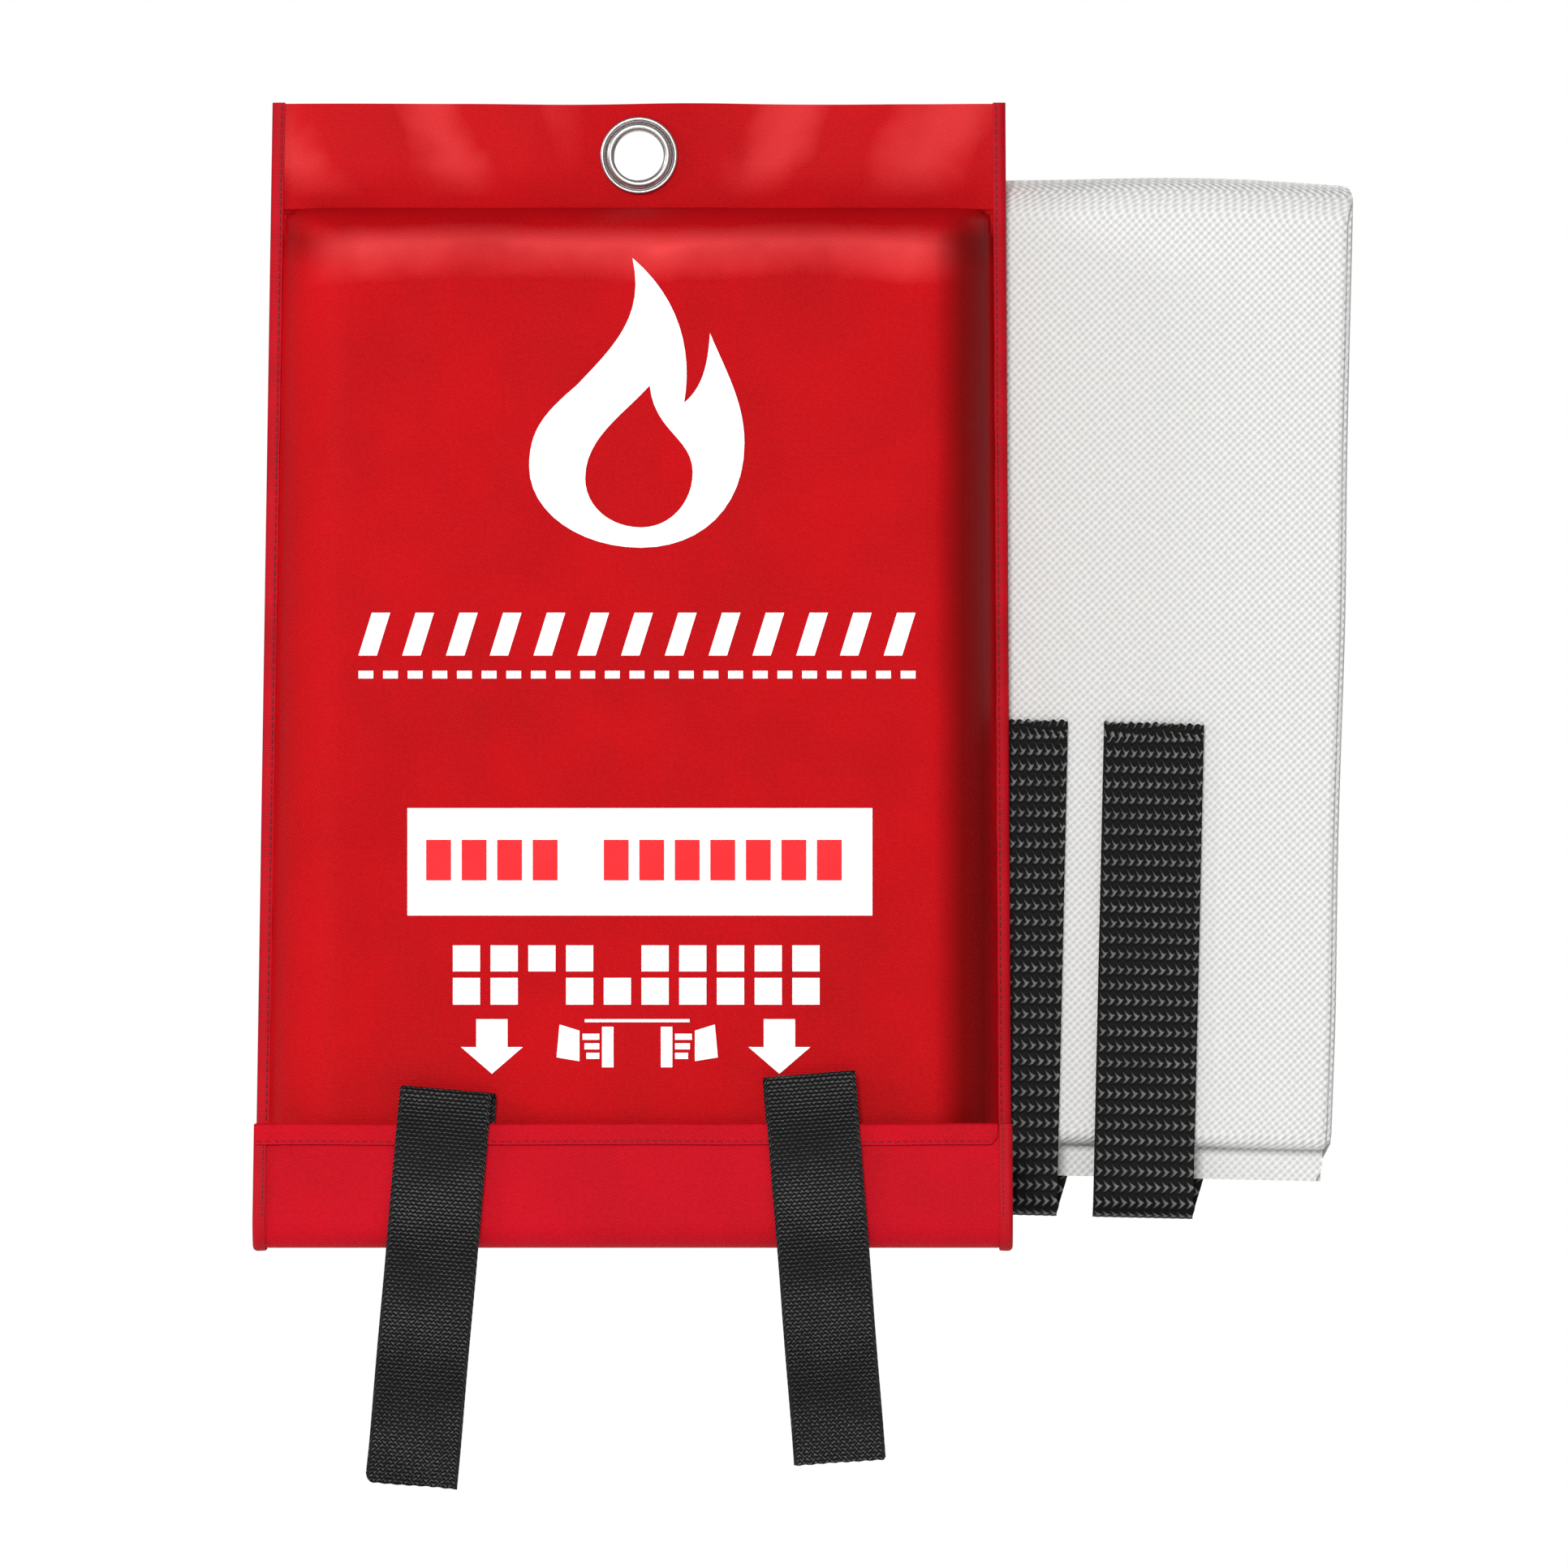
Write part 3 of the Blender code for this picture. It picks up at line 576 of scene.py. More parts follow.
hem_left = edge_x(-1, FRONT_EDGE_Z) + BULGE_INSET
hem_right = edge_x(1, FRONT_EDGE_Z) - BULGE_INSET
hem_middle, hem_half = (hem_left + hem_right) / 2, (hem_right - hem_left) / 2
hem_columns = [hem_middle - hem_half * math.cos(math.pi * i / 120) for i in range(121)]
front_hem = grid_sheet(
    "front_hem_tape",
    [
        [outside_of_front(x, z, HEM_OUT) for x in hem_columns]
        for z in steps(FRONT_EDGE_Z + HEM_WIDTH, FRONT_EDGE_Z, 0.9 * MM)
    ],
    HEM,
    BINDING_CLOTH,
)
smooth(front_hem)
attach(front_hem, "pouch")
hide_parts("front_hem")

hem_stitch_z = FRONT_EDGE_Z + HEM_WIDTH - 0.9 * MM
hem_places = [
    (outside_of_front(x, hem_stitch_z, HEM_OUT + HEM / 2), (1, 0, 0), (0, -1, 0))
    for x in steps(hem_left + SLOPE_SIDE, hem_right - SLOPE_SIDE, 2.4 * MM)
]
front_hem_stitches = stitches("front_hem_stitches", hem_places, DARK_THREAD)
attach(front_hem_stitches, "pouch")

# ---------------------------------------------------------------- side bindings
# Woven tape folded round the raw side edges of both panels and sewn through, from the top edge
# down to the bottom fold.

BINDING = 0.5 * MM
BINDING_WIDTH = 3.3 * MM
BINDING_MIDDLE = GAP / 2
BINDING_REACH = 1.5 * MM
STITCH_PITCH = 2.1 * MM
STITCH_IN = 0.75 * MM


def fold_round(side, z, reach, pinch):
    """(x, out) across a binding: its front leg, the fold round the edge, and its rear leg."""
    edge = edge_x(side, max(z, FOLD_Z))
    inner = edge - side * (BINDING_WIDTH + 0.12 * MM * swell(0.0, z, 9 * MM, 4.0 + side))
    outer = edge - side * BINDING / 2
    turn = [math.radians(90 - 180 * i / 8) for i in range(9)]
    fold = [(outer - side * reach * (1 - math.cos(a)), reach * math.sin(a)) for a in turn]
    shares = (0.0, 0.25, 0.5, 0.75)
    front_leg = [(inner + (fold[0][0] - inner) * s, reach - pinch * (1 - s) ** 2) for s in shares]
    rear_leg = [(inner + (fold[-1][0] - inner) * s, -reach + pinch * (1 - s) ** 2) for s in shares]
    return front_leg + fold + rear_leg[::-1]


def binding(name, side, stations, reach, pinch=0.15 * MM):
    """A binding along stations: a point (depth, z) and the normal (depth, z) that faces out."""
    rows = []
    for (depth, z), (out_depth, out_z) in stations:
        section = fold_round(side, z, reach, pinch)
        rows.append([(x, -(depth + out_depth * n), z + out_z * n) for x, n in section])
    return smooth(grid_sheet(name, rows, BINDING, BINDING_CLOTH))


def binding_stitch_places(side, stations, reach):
    """Stitches down both faces of a binding, close to its inner edge."""
    places = []
    for i, ((depth, z), (out_depth, out_z)) in enumerate(stations):
        near = stations[min(i + 1, len(stations) - 1)][0]
        far = stations[max(i - 1, 0)][0]
        along = (0.0, -(near[0] - far[0]), near[1] - far[1])
        x = edge_x(side, max(z, FOLD_Z)) - side * (BINDING_WIDTH - STITCH_IN)
        for face in (1, -1):
            away = face * (reach + BINDING / 2 - 0.06 * MM)
            point = (x, -(depth + out_depth * away), z + out_z * away)
            places.append((point, along, (0.0, -out_depth * face, out_z * face)))
    return places


side_stations = [
    ((BINDING_MIDDLE, z), (1.0, 0.0)) for z in steps(TOP_Z + 0.4 * MM, FOLD_Z, 1.5 * MM)
]
sewn_stations = [
    ((BINDING_MIDDLE, z), (1.0, 0.0)) for z in steps(TOP_Z - 1 * MM, FOLD_Z + 1 * MM, STITCH_PITCH)
]
side_pieces = []
for word, side in (("left", -1), ("right", 1)):
    tape = binding(f"{word}_binding_tape", side, side_stations, BINDING_REACH)
    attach(tape, "pouch")
    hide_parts(f"{word}_binding")
    sewn = binding_stitch_places(side, sewn_stations, BINDING_REACH)
    seam = stitches(f"{word}_binding_stitches", sewn, DARK_THREAD)
    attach(seam, "pouch")
    side_pieces += [tape, seam]

# ---------------------------------------------------------------- bottom flap
# The back panel's own cloth, folded forward under the blanket and up over the front, with its
# edges bound.

FLAP_DEPTH = -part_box("flap_front_panel")[0].y - FABRIC / 2
FLAP_TOP_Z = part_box("flap_front_panel")[1].z
FLAP_LOW_Z = BOTTOM_Z + FABRIC / 2
FLAP_CORNER = 6.0 * MM
FLAP_REACH = 0.95 * MM
FLAP_HEM_DEPTH = FLAP_DEPTH + FABRIC / 2 + GAP + HEM / 2
FLAP_HEM_ROLL = 0.7 * MM
FLAP_RED = (0.630, 0.0035, 0.0170)
FLAP_DEEP = (0.360, 0.0012, 0.0060)
UNDER_MIDDLE = (BACK_DEPTH + FLAP_DEPTH) / 2


def fold_arc(centre, start, end, count=14):
    """(depth, z) round one of the flap's two lower folds."""
    drop = FOLD_Z - FLAP_LOW_Z
    angles = [math.radians(start + (end - start) * i / count) for i in range(count + 1)]
    return [(centre + FLAP_CORNER * math.cos(a), FOLD_Z + drop * math.sin(a)) for a in angles]


def with_normals(path, first, last):
    """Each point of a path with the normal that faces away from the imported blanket."""
    stations = []
    for i, point in enumerate(path):
        before, after = path[max(i - 1, 0)], path[min(i + 1, len(path) - 1)]
        run, climb = after[0] - before[0], after[1] - before[1]
        length = math.hypot(run, climb)
        stations.append((point, (climb / length, -run / length)))
    stations[0] = (path[0], first)
    stations[-1] = (path[-1], last)
    return stations


rear_fold = fold_arc(BACK_DEPTH + FLAP_CORNER, 180, 270)
front_fold = fold_arc(FLAP_DEPTH - FLAP_CORNER, 270, 360)
under_rear = [(d, FLAP_LOW_Z) for d in steps(rear_fold[-1][0], UNDER_MIDDLE, 1.5 * MM)[1:]]
under_front = [(d, FLAP_LOW_Z) for d in steps(UNDER_MIDDLE, front_fold[0][0], 1.5 * MM)[:-1]]
lap = [(FLAP_DEPTH, z) for z in steps(FOLD_Z, FLAP_TOP_Z, 1.5 * MM)[1:]]
base_stations = with_normals(rear_fold + under_rear, (-1.0, 0.0), (0.0, -1.0))
front_stations = with_normals(under_front + front_fold + lap, (0.0, -1.0), (1.0, 0.0))

FLAP_CLOTH = coated_twill("flap_red_twill", FLAP_RED, FLAP_DEEP)


def flap_row(station, lowered=0.0):
    """One row of the flap's cloth, with the lap's slight waves."""
    (depth, z), (out_depth, out_z) = station
    row = []
    for x in across_pouch(max(z, FOLD_Z), PANEL_INSET):
        wave = 0.16 * MM * swell(x, z, 38 * MM, 9.3) * ramp(z, FOLD_Z, FOLD_Z + 8 * MM)
        wave *= ramp(abs(x), CLOSURE_HALF + 4 * MM, CLOSURE_HALF + 16 * MM)
        row.append((x, -(depth + out_depth * wave), z + out_z * wave - lowered))
    return row


def bend_at_fold(piece):
    """Bakes the piece's placement into its mesh."""
    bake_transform(piece)


CLOSURE_HALF = 18.0 * MM
HEM_TURN_Z = FLAP_TOP_Z - 0.7 * MM

flap_base = grid_sheet("flap_base_cloth", [flap_row(s) for s in base_stations], FABRIC, FLAP_CLOTH)
smooth(flap_base)
bend_at_fold(flap_base)
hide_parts("flap_base_panel")

lap_stations = [s for s in front_stations if s[0][1] < HEM_TURN_Z - 0.5 * MM]
flap_front = grid_sheet("flap_front_cloth", [flap_row(s) for s in lap_stations], FABRIC, FLAP_CLOTH)
smooth(flap_front)
bend_at_fold(flap_front)
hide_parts("flap_front_panel")

flap_front_pieces = []
for word, side in (("left", -1), ("right", 1)):
    under = binding(f"flap_base_{word}_binding_tape", side, base_stations, FLAP_REACH, 0.1 * MM)
    bend_at_fold(under)
    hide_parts(f"flap_base_{word}_binding")
    up = binding(f"flap_{word}_binding_tape", side, front_stations, FLAP_REACH, 0.1 * MM)
    bend_at_fold(up)
    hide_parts(f"flap_{word}_binding")
    sewn_lap = [s for s in front_stations if s[0][1] > FOLD_Z]
    seam = stitches(
        f"flap_{word}_binding_stitches",
        binding_stitch_places(side, sewn_lap, FLAP_REACH),
        DARK_THREAD,
        1.0 * MM,
        0.14 * MM,
    )
    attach(seam, "flap_front")
    flap_front_pieces += [up, seam]

roll = [math.radians(180 * i / 8) for i in range(9)]
hem_path = [(FLAP_HEM_DEPTH, z) for z in steps(FLAP_TOP_Z - HEM_WIDTH, HEM_TURN_Z, 0.9 * MM)[:-1]]
hem_path += [
    (FLAP_HEM_DEPTH - FLAP_HEM_ROLL * (1 - math.cos(a)), HEM_TURN_Z + FLAP_HEM_ROLL * math.sin(a))
    for a in roll
]
hem_from = edge_x(-1, FLAP_TOP_Z) + 0.4 * MM
hem_to = edge_x(1, FLAP_TOP_Z) - BINDING_WIDTH - 2 * GAP


def flap_hem_point(x, depth, z):
    """The hem lies on the lap, climbs over the left binding, and turns up at its right end."""
    over_binding = 0.55 * MM * ramp(hem_from + BINDING_WIDTH + 3 * MM - x, 0.0, 3 * MM)
    corner = max(x - (hem_to - 2.5 * MM), 0.0) / (2.5 * MM)
    low = FLAP_TOP_Z - HEM_WIDTH
    lifted = (1 - ramp(z, low, FLAP_TOP_Z)) * 2.2 * MM * (1 - math.sqrt(max(1 - corner**2, 0.0)))
    front_share = ramp(depth, FLAP_DEPTH, FLAP_HEM_DEPTH)
    waviness = 0.2 * MM * swell(x, 0.0, 22 * MM, 7.7)
    return (x, -(depth + over_binding * front_share), z + lifted + waviness)


flap_hem = grid_sheet(
    "flap_hem_tape",
    [[flap_hem_point(x, d, z) for x in np.linspace(hem_from, hem_to, 130)] for d, z in hem_path],
    0.5 * MM,
    FLAP_CLOTH,
)
smooth(flap_hem)
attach(flap_hem, "flap_front")
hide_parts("flap_hem")

flap_stitch_z = FLAP_TOP_Z - HEM_WIDTH + 0.8 * MM
flap_hem_places = [
    (
        flap_hem_point(x, FLAP_HEM_DEPTH + 0.24 * MM, flap_stitch_z),
        (1, 0, 0),
        (0, -1, 0),
    )
    for x in steps(hem_from + 1 * MM, hem_to - 3 * MM, STITCH_PITCH)
]
flap_hem_stitches = stitches("flap_hem_stitches", flap_hem_places, DARK_THREAD)
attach(flap_hem_stitches, "flap_front")
flap_front_pieces += [flap_hem, flap_hem_stitches]

# ---------------------------------------------------------------- closure strips
# Hook-and-loop tape that holds the flap shut: a hook strip sewn inside the flap and a loop strip
# on the front panel's lower edge. The knit backings are moulded full of tiny hooks and loops.

CLOSURE_BACKING = 0.45 * MM
HOOK_PITCH = 1.5 * MM


def strip_backing(name, low, high):
    """A thin backing with rounded corners between two corners of a box."""
    centre = [(a + b) / 2 for a, b in zip(low, high)]
    select_only(front)
    front.select_set(False)
    bpy.ops.mesh.primitive_cube_add(size=1.0, location=centre)
    strip = bpy.context.active_object
    strip.name = name
    strip.scale = [abs(b - a) for a, b in zip(low, high)]
    bpy.ops.object.transform_apply(location=True, rotation=True, scale=True)
    bpy.ops.object.mode_set(mode="EDIT")
    shape = bmesh.from_edit_mesh(strip.data)
    for edge in shape.edges:
        a, b = edge.verts
        edge.select_set(abs(a.co.y - b.co.y) > 0.5 * abs(high[1] - low[1]))
    bmesh.update_edit_mesh(strip.data)
    bpy.ops.mesh.select_mode(type="EDGE")
    bpy.ops.mesh.bevel(offset=1.6 * MM, segments=5)
    bpy.ops.object.mode_set(mode="OBJECT")
    return strip


def fibre(name, curved):
    """One loop, or one hook that stands up towards +Y, at the origin."""
    select_only(front)
    front.select_set(False)
    if curved:
        bpy.ops.mesh.primitive_torus_add(
            major_radius=0.36 * MM, minor_radius=0.07 * MM, major_segments=8, minor_segments=4
        )
    else:
        bpy.ops.mesh.primitive_cylinder_add(
            vertices=5, radius=0.12 * MM, depth=0.3 * MM, rotation=(math.pi / 2, 0, 0)
        )
    made = bpy.context.active_object
    made.name = name
    bpy.ops.object.transform_apply(location=True, rotation=True, scale=True)
    if not curved:
        bpy.ops.object.mode_set(mode="EDIT")
        shape = bmesh.from_edit_mesh(made.data)
        for face in shape.faces:
            face.select_set(face.normal.y > 0.9)
        bmesh.update_edit_mesh(made.data)
        bpy.ops.mesh.extrude_region_move(
            TRANSFORM_OT_translate={"value": (0.20 * MM, 0.02 * MM, 0.0)}
        )
        bpy.ops.object.mode_set(mode="OBJECT")
    return made


def plant(strip, model, depth, seed):
    """Joins a field of copies of the model to a strip, in staggered rows with loose turns."""
    draw = random.Random(seed)
    low = [min(v.co[i] for v in strip.data.vertices) for i in range(3)]
    high = [max(v.co[i] for v in strip.data.vertices) for i in range(3)]
    copies = []
    for j, z in enumerate(steps(low[2] + 1 * MM, high[2] - 1 * MM, HOOK_PITCH)):
        start = low[0] + (1.0 + 0.5 * (j % 2)) * MM
        for x in steps(start, high[0] - 1 * MM, HOOK_PITCH):
            copy = model.copy()
            copy.data = model.data.copy()
            bpy.context.scene.collection.objects.link(copy)
            copy.location = (x, -depth, z)
            copy.rotation_euler.y = draw.uniform(0, math.tau)
            copies.append(copy)
    select_only(strip)
    for copy in copies:
        copy.select_set(True)
    bpy.ops.object.join()
    bpy.data.objects.remove(model)
    bpy.ops.object.transform_apply(location=True, rotation=True, scale=True)
    return strip


def closure_knit(name, color):
    """Black nylon knit: fine cross ribs and a dry, slightly dusty surface."""
    paint = Paint(name)
    source, (x, _, z) = paint.places("Object")
    grain = paint.speckle(source, 1600.0, 2.0)
    ribs = paint.sum("MULTIPLY", paint.wave(x, 0.6 * MM), paint.wave(z, 0.6 * MM))
    tone = paint.sum("MULTIPLY_ADD", ribs, 0.25, grain)
    pale = tuple(3.0 * part for part in color)
    paint.link(paint.blend(paint.spread(tone, 0.2, 0.9), color, pale), "Base Color")
    paint.relief(ribs, 0.04 * MM)
    paint.set(Roughness=0.8)
    return paint.material


CLOSURE_NYLON = closure_knit("closure_nylon", (0.012, 0.012, 0.013))
for word, node_name, body, backing_side in (
    ("hook", "hook_strip", "flap_front", -1),
    ("loop", "loop_strip", "pouch", 1),
):
    low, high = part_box(node_name)
    face = low.y if backing_side < 0 else high.y
    other = face - backing_side * CLOSURE_BACKING
    strip = strip_backing(
        f"{word}_strip_tape", (low.x, min(face, other), low.z), (high.x, max(face, other), high.z)
    )
    field = fibre(f"{word}_model", word == "loop")
    plant(strip, field, -(other - backing_side * 0.14 * MM), 12)
    strip.data.materials.clear()
    strip.data.materials.append(CLOSURE_NYLON)
    smooth(strip)
    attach(strip, body)
    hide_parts(node_name)

# ---------------------------------------------------------------- eyelet and washer
# The pouch hangs by a nickel-plated eyelet: a flanged barrel pushed through both panels from the
# front, with its end rolled over a loose washer behind.

RING_SEGMENTS = 96
BORE = 6.5 * MM
BARREL = 7.1 * MM
ROLL = 8.6 * MM
FLANGE = 10.2 * MM
FLANGE_FACE = FLAT_DEPTH + FABRIC / 2 + GAP
WASHER_FACE = -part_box("eyelet_washer")[0].y
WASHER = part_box("eyelet_washer")[1].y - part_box("eyelet_washer")[0].y


def turned_ring(name, profile, paint):
    """A ring about the eyelet's axis, drawn out circle by circle along a closed profile."""
    for other in bpy.context.selected_objects:
        other.select_set(False)
    radius, depth = profile[0]
    bpy.ops.mesh.primitive_circle_add(
        vertices=RING_SEGMENTS, radius=radius, location=(0, -depth, 0), rotation=(math.pi / 2, 0, 0)
    )
    ring = bpy.context.active_object
    ring.name = name
    bpy.ops.object.transform_apply(location=True, rotation=True, scale=True)
    bpy.ops.object.mode_set(mode="EDIT")
    bpy.ops.mesh.select_all(action="SELECT")
    for new_radius, new_depth in profile[1:] + profile[:1]:
        bpy.ops.mesh.extrude_region_move(
            TRANSFORM_OT_translate={"value": (0.0, depth - new_depth, 0.0)}
        )
        share = new_radius / radius
        bpy.ops.transform.resize(value=(share, 1.0, share), center_override=(0.0, -new_depth, 0.0))
        radius, depth = new_radius, new_depth
    bpy.ops.mesh.select_all(action="SELECT")
    bpy.ops.mesh.remove_doubles(threshold=0.01 * MM)
    bpy.ops.mesh.normals_make_consistent(inside=False)
    bpy.ops.object.mode_set(mode="OBJECT")
    ring.data.materials.append(paint)
    return smooth(ring, 50)


def dome(start, end, height, count=10):
    """A rounded bead from one (radius, depth) to another, this much proud of both."""
    points = []
    for i in range(count + 1):
        share = (1 - math.cos(math.pi * i / count)) / 2
        radius = start[0] + (end[0] - start[0]) * share
        depth = start[1] + (end[1] - start[1]) * share
        points.append((radius, depth + height * math.sin(math.pi * i / count)))
    return points


def plated_metal(name):
    """Nickel plate: satin and finely scratched, with painted shade in the groove between roll and
    rim, tinted red as a painted reflection of the cloth.
    """
    paint = Paint(name)
    source, (x, _, z) = paint.places("Object")
    squares = paint.sum("ADD", paint.sum("MULTIPLY", x, x), paint.sum("MULTIPLY", z, z))
    out = paint.sum("SQRT", squares)
    # Painted shade in the groove between roll and rim, with a red tint as a painted reflection of
    # the red cloth.
    near = paint.sum("ABSOLUTE", paint.sum("SUBTRACT", out, 8.75 * MM))
    groove = paint.spread(near, 0.05 * MM, 0.40 * MM, 1.0, 0.0)
    scratches = paint.speckle(source, 700.0, 3.0, 0.7)
    stains = paint.speckle(source, 120.0, 2.0)
    bright = paint.blend(paint.spread(stains, 0.3, 0.7), (0.40, 0.40, 0.395), (0.58, 0.58, 0.57))
    paint.link(paint.blend(groove, bright, (0.16, 0.10, 0.10)), "Base Color")
    paint.link(paint.spread(scratches, 0.3, 0.7, 0.34, 0.40), "Roughness")
    paint.set(Metallic=1.0)
    return paint.material


NICKEL = plated_metal("satin_nickel")
roll_base = FLANGE_FACE + 0.6 * MM
groove_floor = FLANGE_FACE + 0.25 * MM
eyelet_profile = dome((BORE, roll_base), (ROLL, roll_base), 1.2 * MM)
eyelet_profile += [(ROLL + 0.05 * MM, groove_floor + 0.1 * MM), (ROLL + 0.2 * MM, groove_floor)]
rim_inner = (9.1 * MM, groove_floor + 0.1 * MM)
eyelet_profile += dome(rim_inner, (FLANGE, FLANGE_FACE + 0.3 * MM), 0.6 * MM)
eyelet_profile += [(FLANGE, FLANGE_FACE), (BARREL, FLANGE_FACE), (BARREL, 0.0)]
rear_level = WASHER_FACE - WASHER - GAP
eyelet_profile += [(BARREL, rear_level)]
eyelet_profile += [
    (radius, 2 * rear_level - depth)
    for radius, depth in dome((ROLL, rear_level), (BORE, rear_level), 1.1 * MM)
]
eyelet_profile += [(BORE, 0.0)]
eyelet = turned_ring("hanging_eyelet", eyelet_profile, NICKEL)
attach(eyelet, "pouch")
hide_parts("eyelet")

washer_inner = BARREL + GAP
washer_profile = [(washer_inner, WASHER_FACE), (FLANGE, WASHER_FACE)]
washer_profile += [
    (radius, 2 * (WASHER_FACE - 0.45 * MM) - depth)
    for radius, depth in dome(
        (FLANGE, WASHER_FACE - 0.45 * MM), (washer_inner, WASHER_FACE - 0.45 * MM), 0.35 * MM
    )
]
washer = turned_ring("hanging_washer", washer_profile, NICKEL)
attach(washer, "pouch")
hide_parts("eyelet_washer")

# ---------------------------------------------------------------- printed marks
# White ink on the front panel: a plain flame, rows of blocks where the words would be, a white
# panel with red blocks, two arrows over the tapes, and a small sketch of hands pulling them.

PRINT = 0.08 * MM
PRINT_LIFT = 0.10 * MM
PRINT_STEP = 2.5 * MM


def ink(name, color, painted_glow=0.0):
    """Matt screen ink that lets a little of the weave show, with optional emission that is painted
    light.
    """
    paint = Paint(name)
    source, (x, _, z) = paint.places("Object")
    grain = paint.speckle(source, 1400.0, 2.0)
    thin = tuple(0.93 * part for part in color)
    paint.link(paint.blend(paint.spread(grain, 0.3, 0.6), thin, color), "Base Color")
    weave = paint.sum("MULTIPLY", paint.wave(x, TWILL_ACROSS), paint.wave(z, TWILL_UP / 2))
    paint.relief(weave, 0.01 * MM)
    paint.set(Roughness=0.55, Specular_IOR_Level=0.2, Emission_Strength=painted_glow)
    paint.shader.inputs["Emission Color"].default_value = (*color, 1.0)
    return paint.material


def print_on_cloth(name, groups, paint, lift=PRINT_LIFT):
    """Ink on the front panel. A group is an outline of (x, z) points and any holes in it."""
    shape = bmesh.new()
    for group in groups:
        edges = []
        for outline in group:
            corners = [shape.verts.new((x, 0.0, z)) for x, z in outline]
            edges += [shape.edges.new(pair) for pair in zip(corners, corners[1:] + corners[:1])]
        bmesh.ops.triangle_fill(shape, edges=edges, use_beauty=True, normal=(0, -1, 0))
    for axis in (0, 2):
        low = min(v.co[axis] for v in shape.verts)
        high = max(v.co[axis] for v in shape.verts)
        for cut in steps(low, high, PRINT_STEP)[1:-1]:
            where = [0.0, 0.0, 0.0]
            where[axis] = cut
            facing = [0.0, 0.0, 0.0]
            facing[axis] = 1.0
            everything = [*shape.verts, *shape.edges, *shape.faces]
            bmesh.ops.bisect_plane(shape, geom=everything, plane_co=where, plane_no=facing)
    for vertex in shape.verts:
        vertex.co.y = -(front_depth(vertex.co.x, vertex.co.z) + FABRIC / 2 + lift)
    mesh = bpy.data.meshes.new(name)
    shape.to_mesh(mesh)
    shape.free()
    mark = bpy.data.objects.new(name, mesh)
    bpy.context.scene.collection.objects.link(mark)
    mesh.materials.append(paint)
    thicken(mark, PRINT)
    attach(mark, "pouch")
    return mark


def curve_outline(points, count=12):
    """An outline from (point, handle after, handle before the next point) in (x, z)."""
    outline = []
    for i, (point, after, before) in enumerate(points):
        following = points[(i + 1) % len(points)][0]
        for j in range(count):
            t = j / count
            parts = ((1 - t) ** 3, 3 * t * (1 - t) ** 2, 3 * t * t * (1 - t), t**3)
            corners = (point, after, before, following)
            outline.append(tuple(sum(p * c[k] for p, c in zip(parts, corners)) for k in (0, 1)))
    return outline


def placed(outline, centre_x, low_z, width, height):
    """An outline drawn in a unit square, brought to its size and place."""
    return [(centre_x + x * width, low_z + z * height) for x, z in outline]


def block(x0, x1, z0, z1, lean=0.0):
    return [(x0, z0), (x1, z0), (x1 + lean, z1), (x0 + lean, z1)]


def block_row(words, x0, x1, z0, z1, filled=0.66, lean=0.0):
    """Plain blocks in words of so many blocks, spread evenly from x0 to x1."""
    slots = sum(words) + len(words) - 1
    pitch = (x1 - x0) / (slots - (1 - filled))
    row, start = [], x0
    for word in words:
        for _ in range(word):
            row.append([block(start, start + filled * pitch, z0, z1, lean)])
            start += pitch
        start += pitch
    return row


# The white ink is given a little emission: painted light that brightens it past its lighting.
WHITE_INK = ink("white_ink", (0.92, 0.92, 0.92), 0.10)
RED_INK = ink("red_ink", (0.80, 0.012, 0.018))

flame_outer = curve_outline(
    [
        ((0.02, 0.0), (0.30, 0.0), (0.50, 0.14)),
        ((0.50, 0.36), (0.50, 0.50), (0.42, 0.60)),
        ((0.34, 0.74), (0.33, 0.62), (0.30, 0.55)),
        ((0.22, 0.50), (0.26, 0.68), (0.20, 0.86)),
        ((-0.02, 1.0), (0.04, 0.80), (-0.10, 0.70)),
        ((-0.28, 0.56), (-0.44, 0.46), (-0.50, 0.40)),
        ((-0.50, 0.28), (-0.50, 0.12), (-0.26, 0.0)),
    ]
)
flame_inner = curve_outline(
    [
        ((0.02, 0.07), (0.16, 0.07), (0.26, 0.16)),
        ((0.26, 0.26), (0.26, 0.38), (0.08, 0.40)),
        ((0.06, 0.56), (-0.06, 0.46), (-0.24, 0.38)),
        ((-0.24, 0.24), (-0.24, 0.14), (-0.12, 0.07)),
    ]
)
FLAME_PLACE = (-0.4 * MM, -103.3 * MM, 56.3 * MM, 75.8 * MM)
flame = [placed(flame_outer, *FLAME_PLACE), placed(flame_inner, *FLAME_PLACE)[::-1]]


ARROW_LOW, ARROW_HIGH, ARROW_NECK = -240.9 * MM, -226.6 * MM, -233.9 * MM
ARROW_HALF, SHAFT_HALF = 8.1 * MM, 4.1 * MM


def arrow(centre):
    """A plain arrow that points down at a tape."""
    half = [(0.0, ARROW_LOW), (ARROW_HALF, ARROW_NECK), (SHAFT_HALF, ARROW_NECK)]
    half.append((SHAFT_HALF, ARROW_HIGH))
    return [(centre + x, z) for x, z in half + [(-x, z) for x, z in half[:0:-1]]]


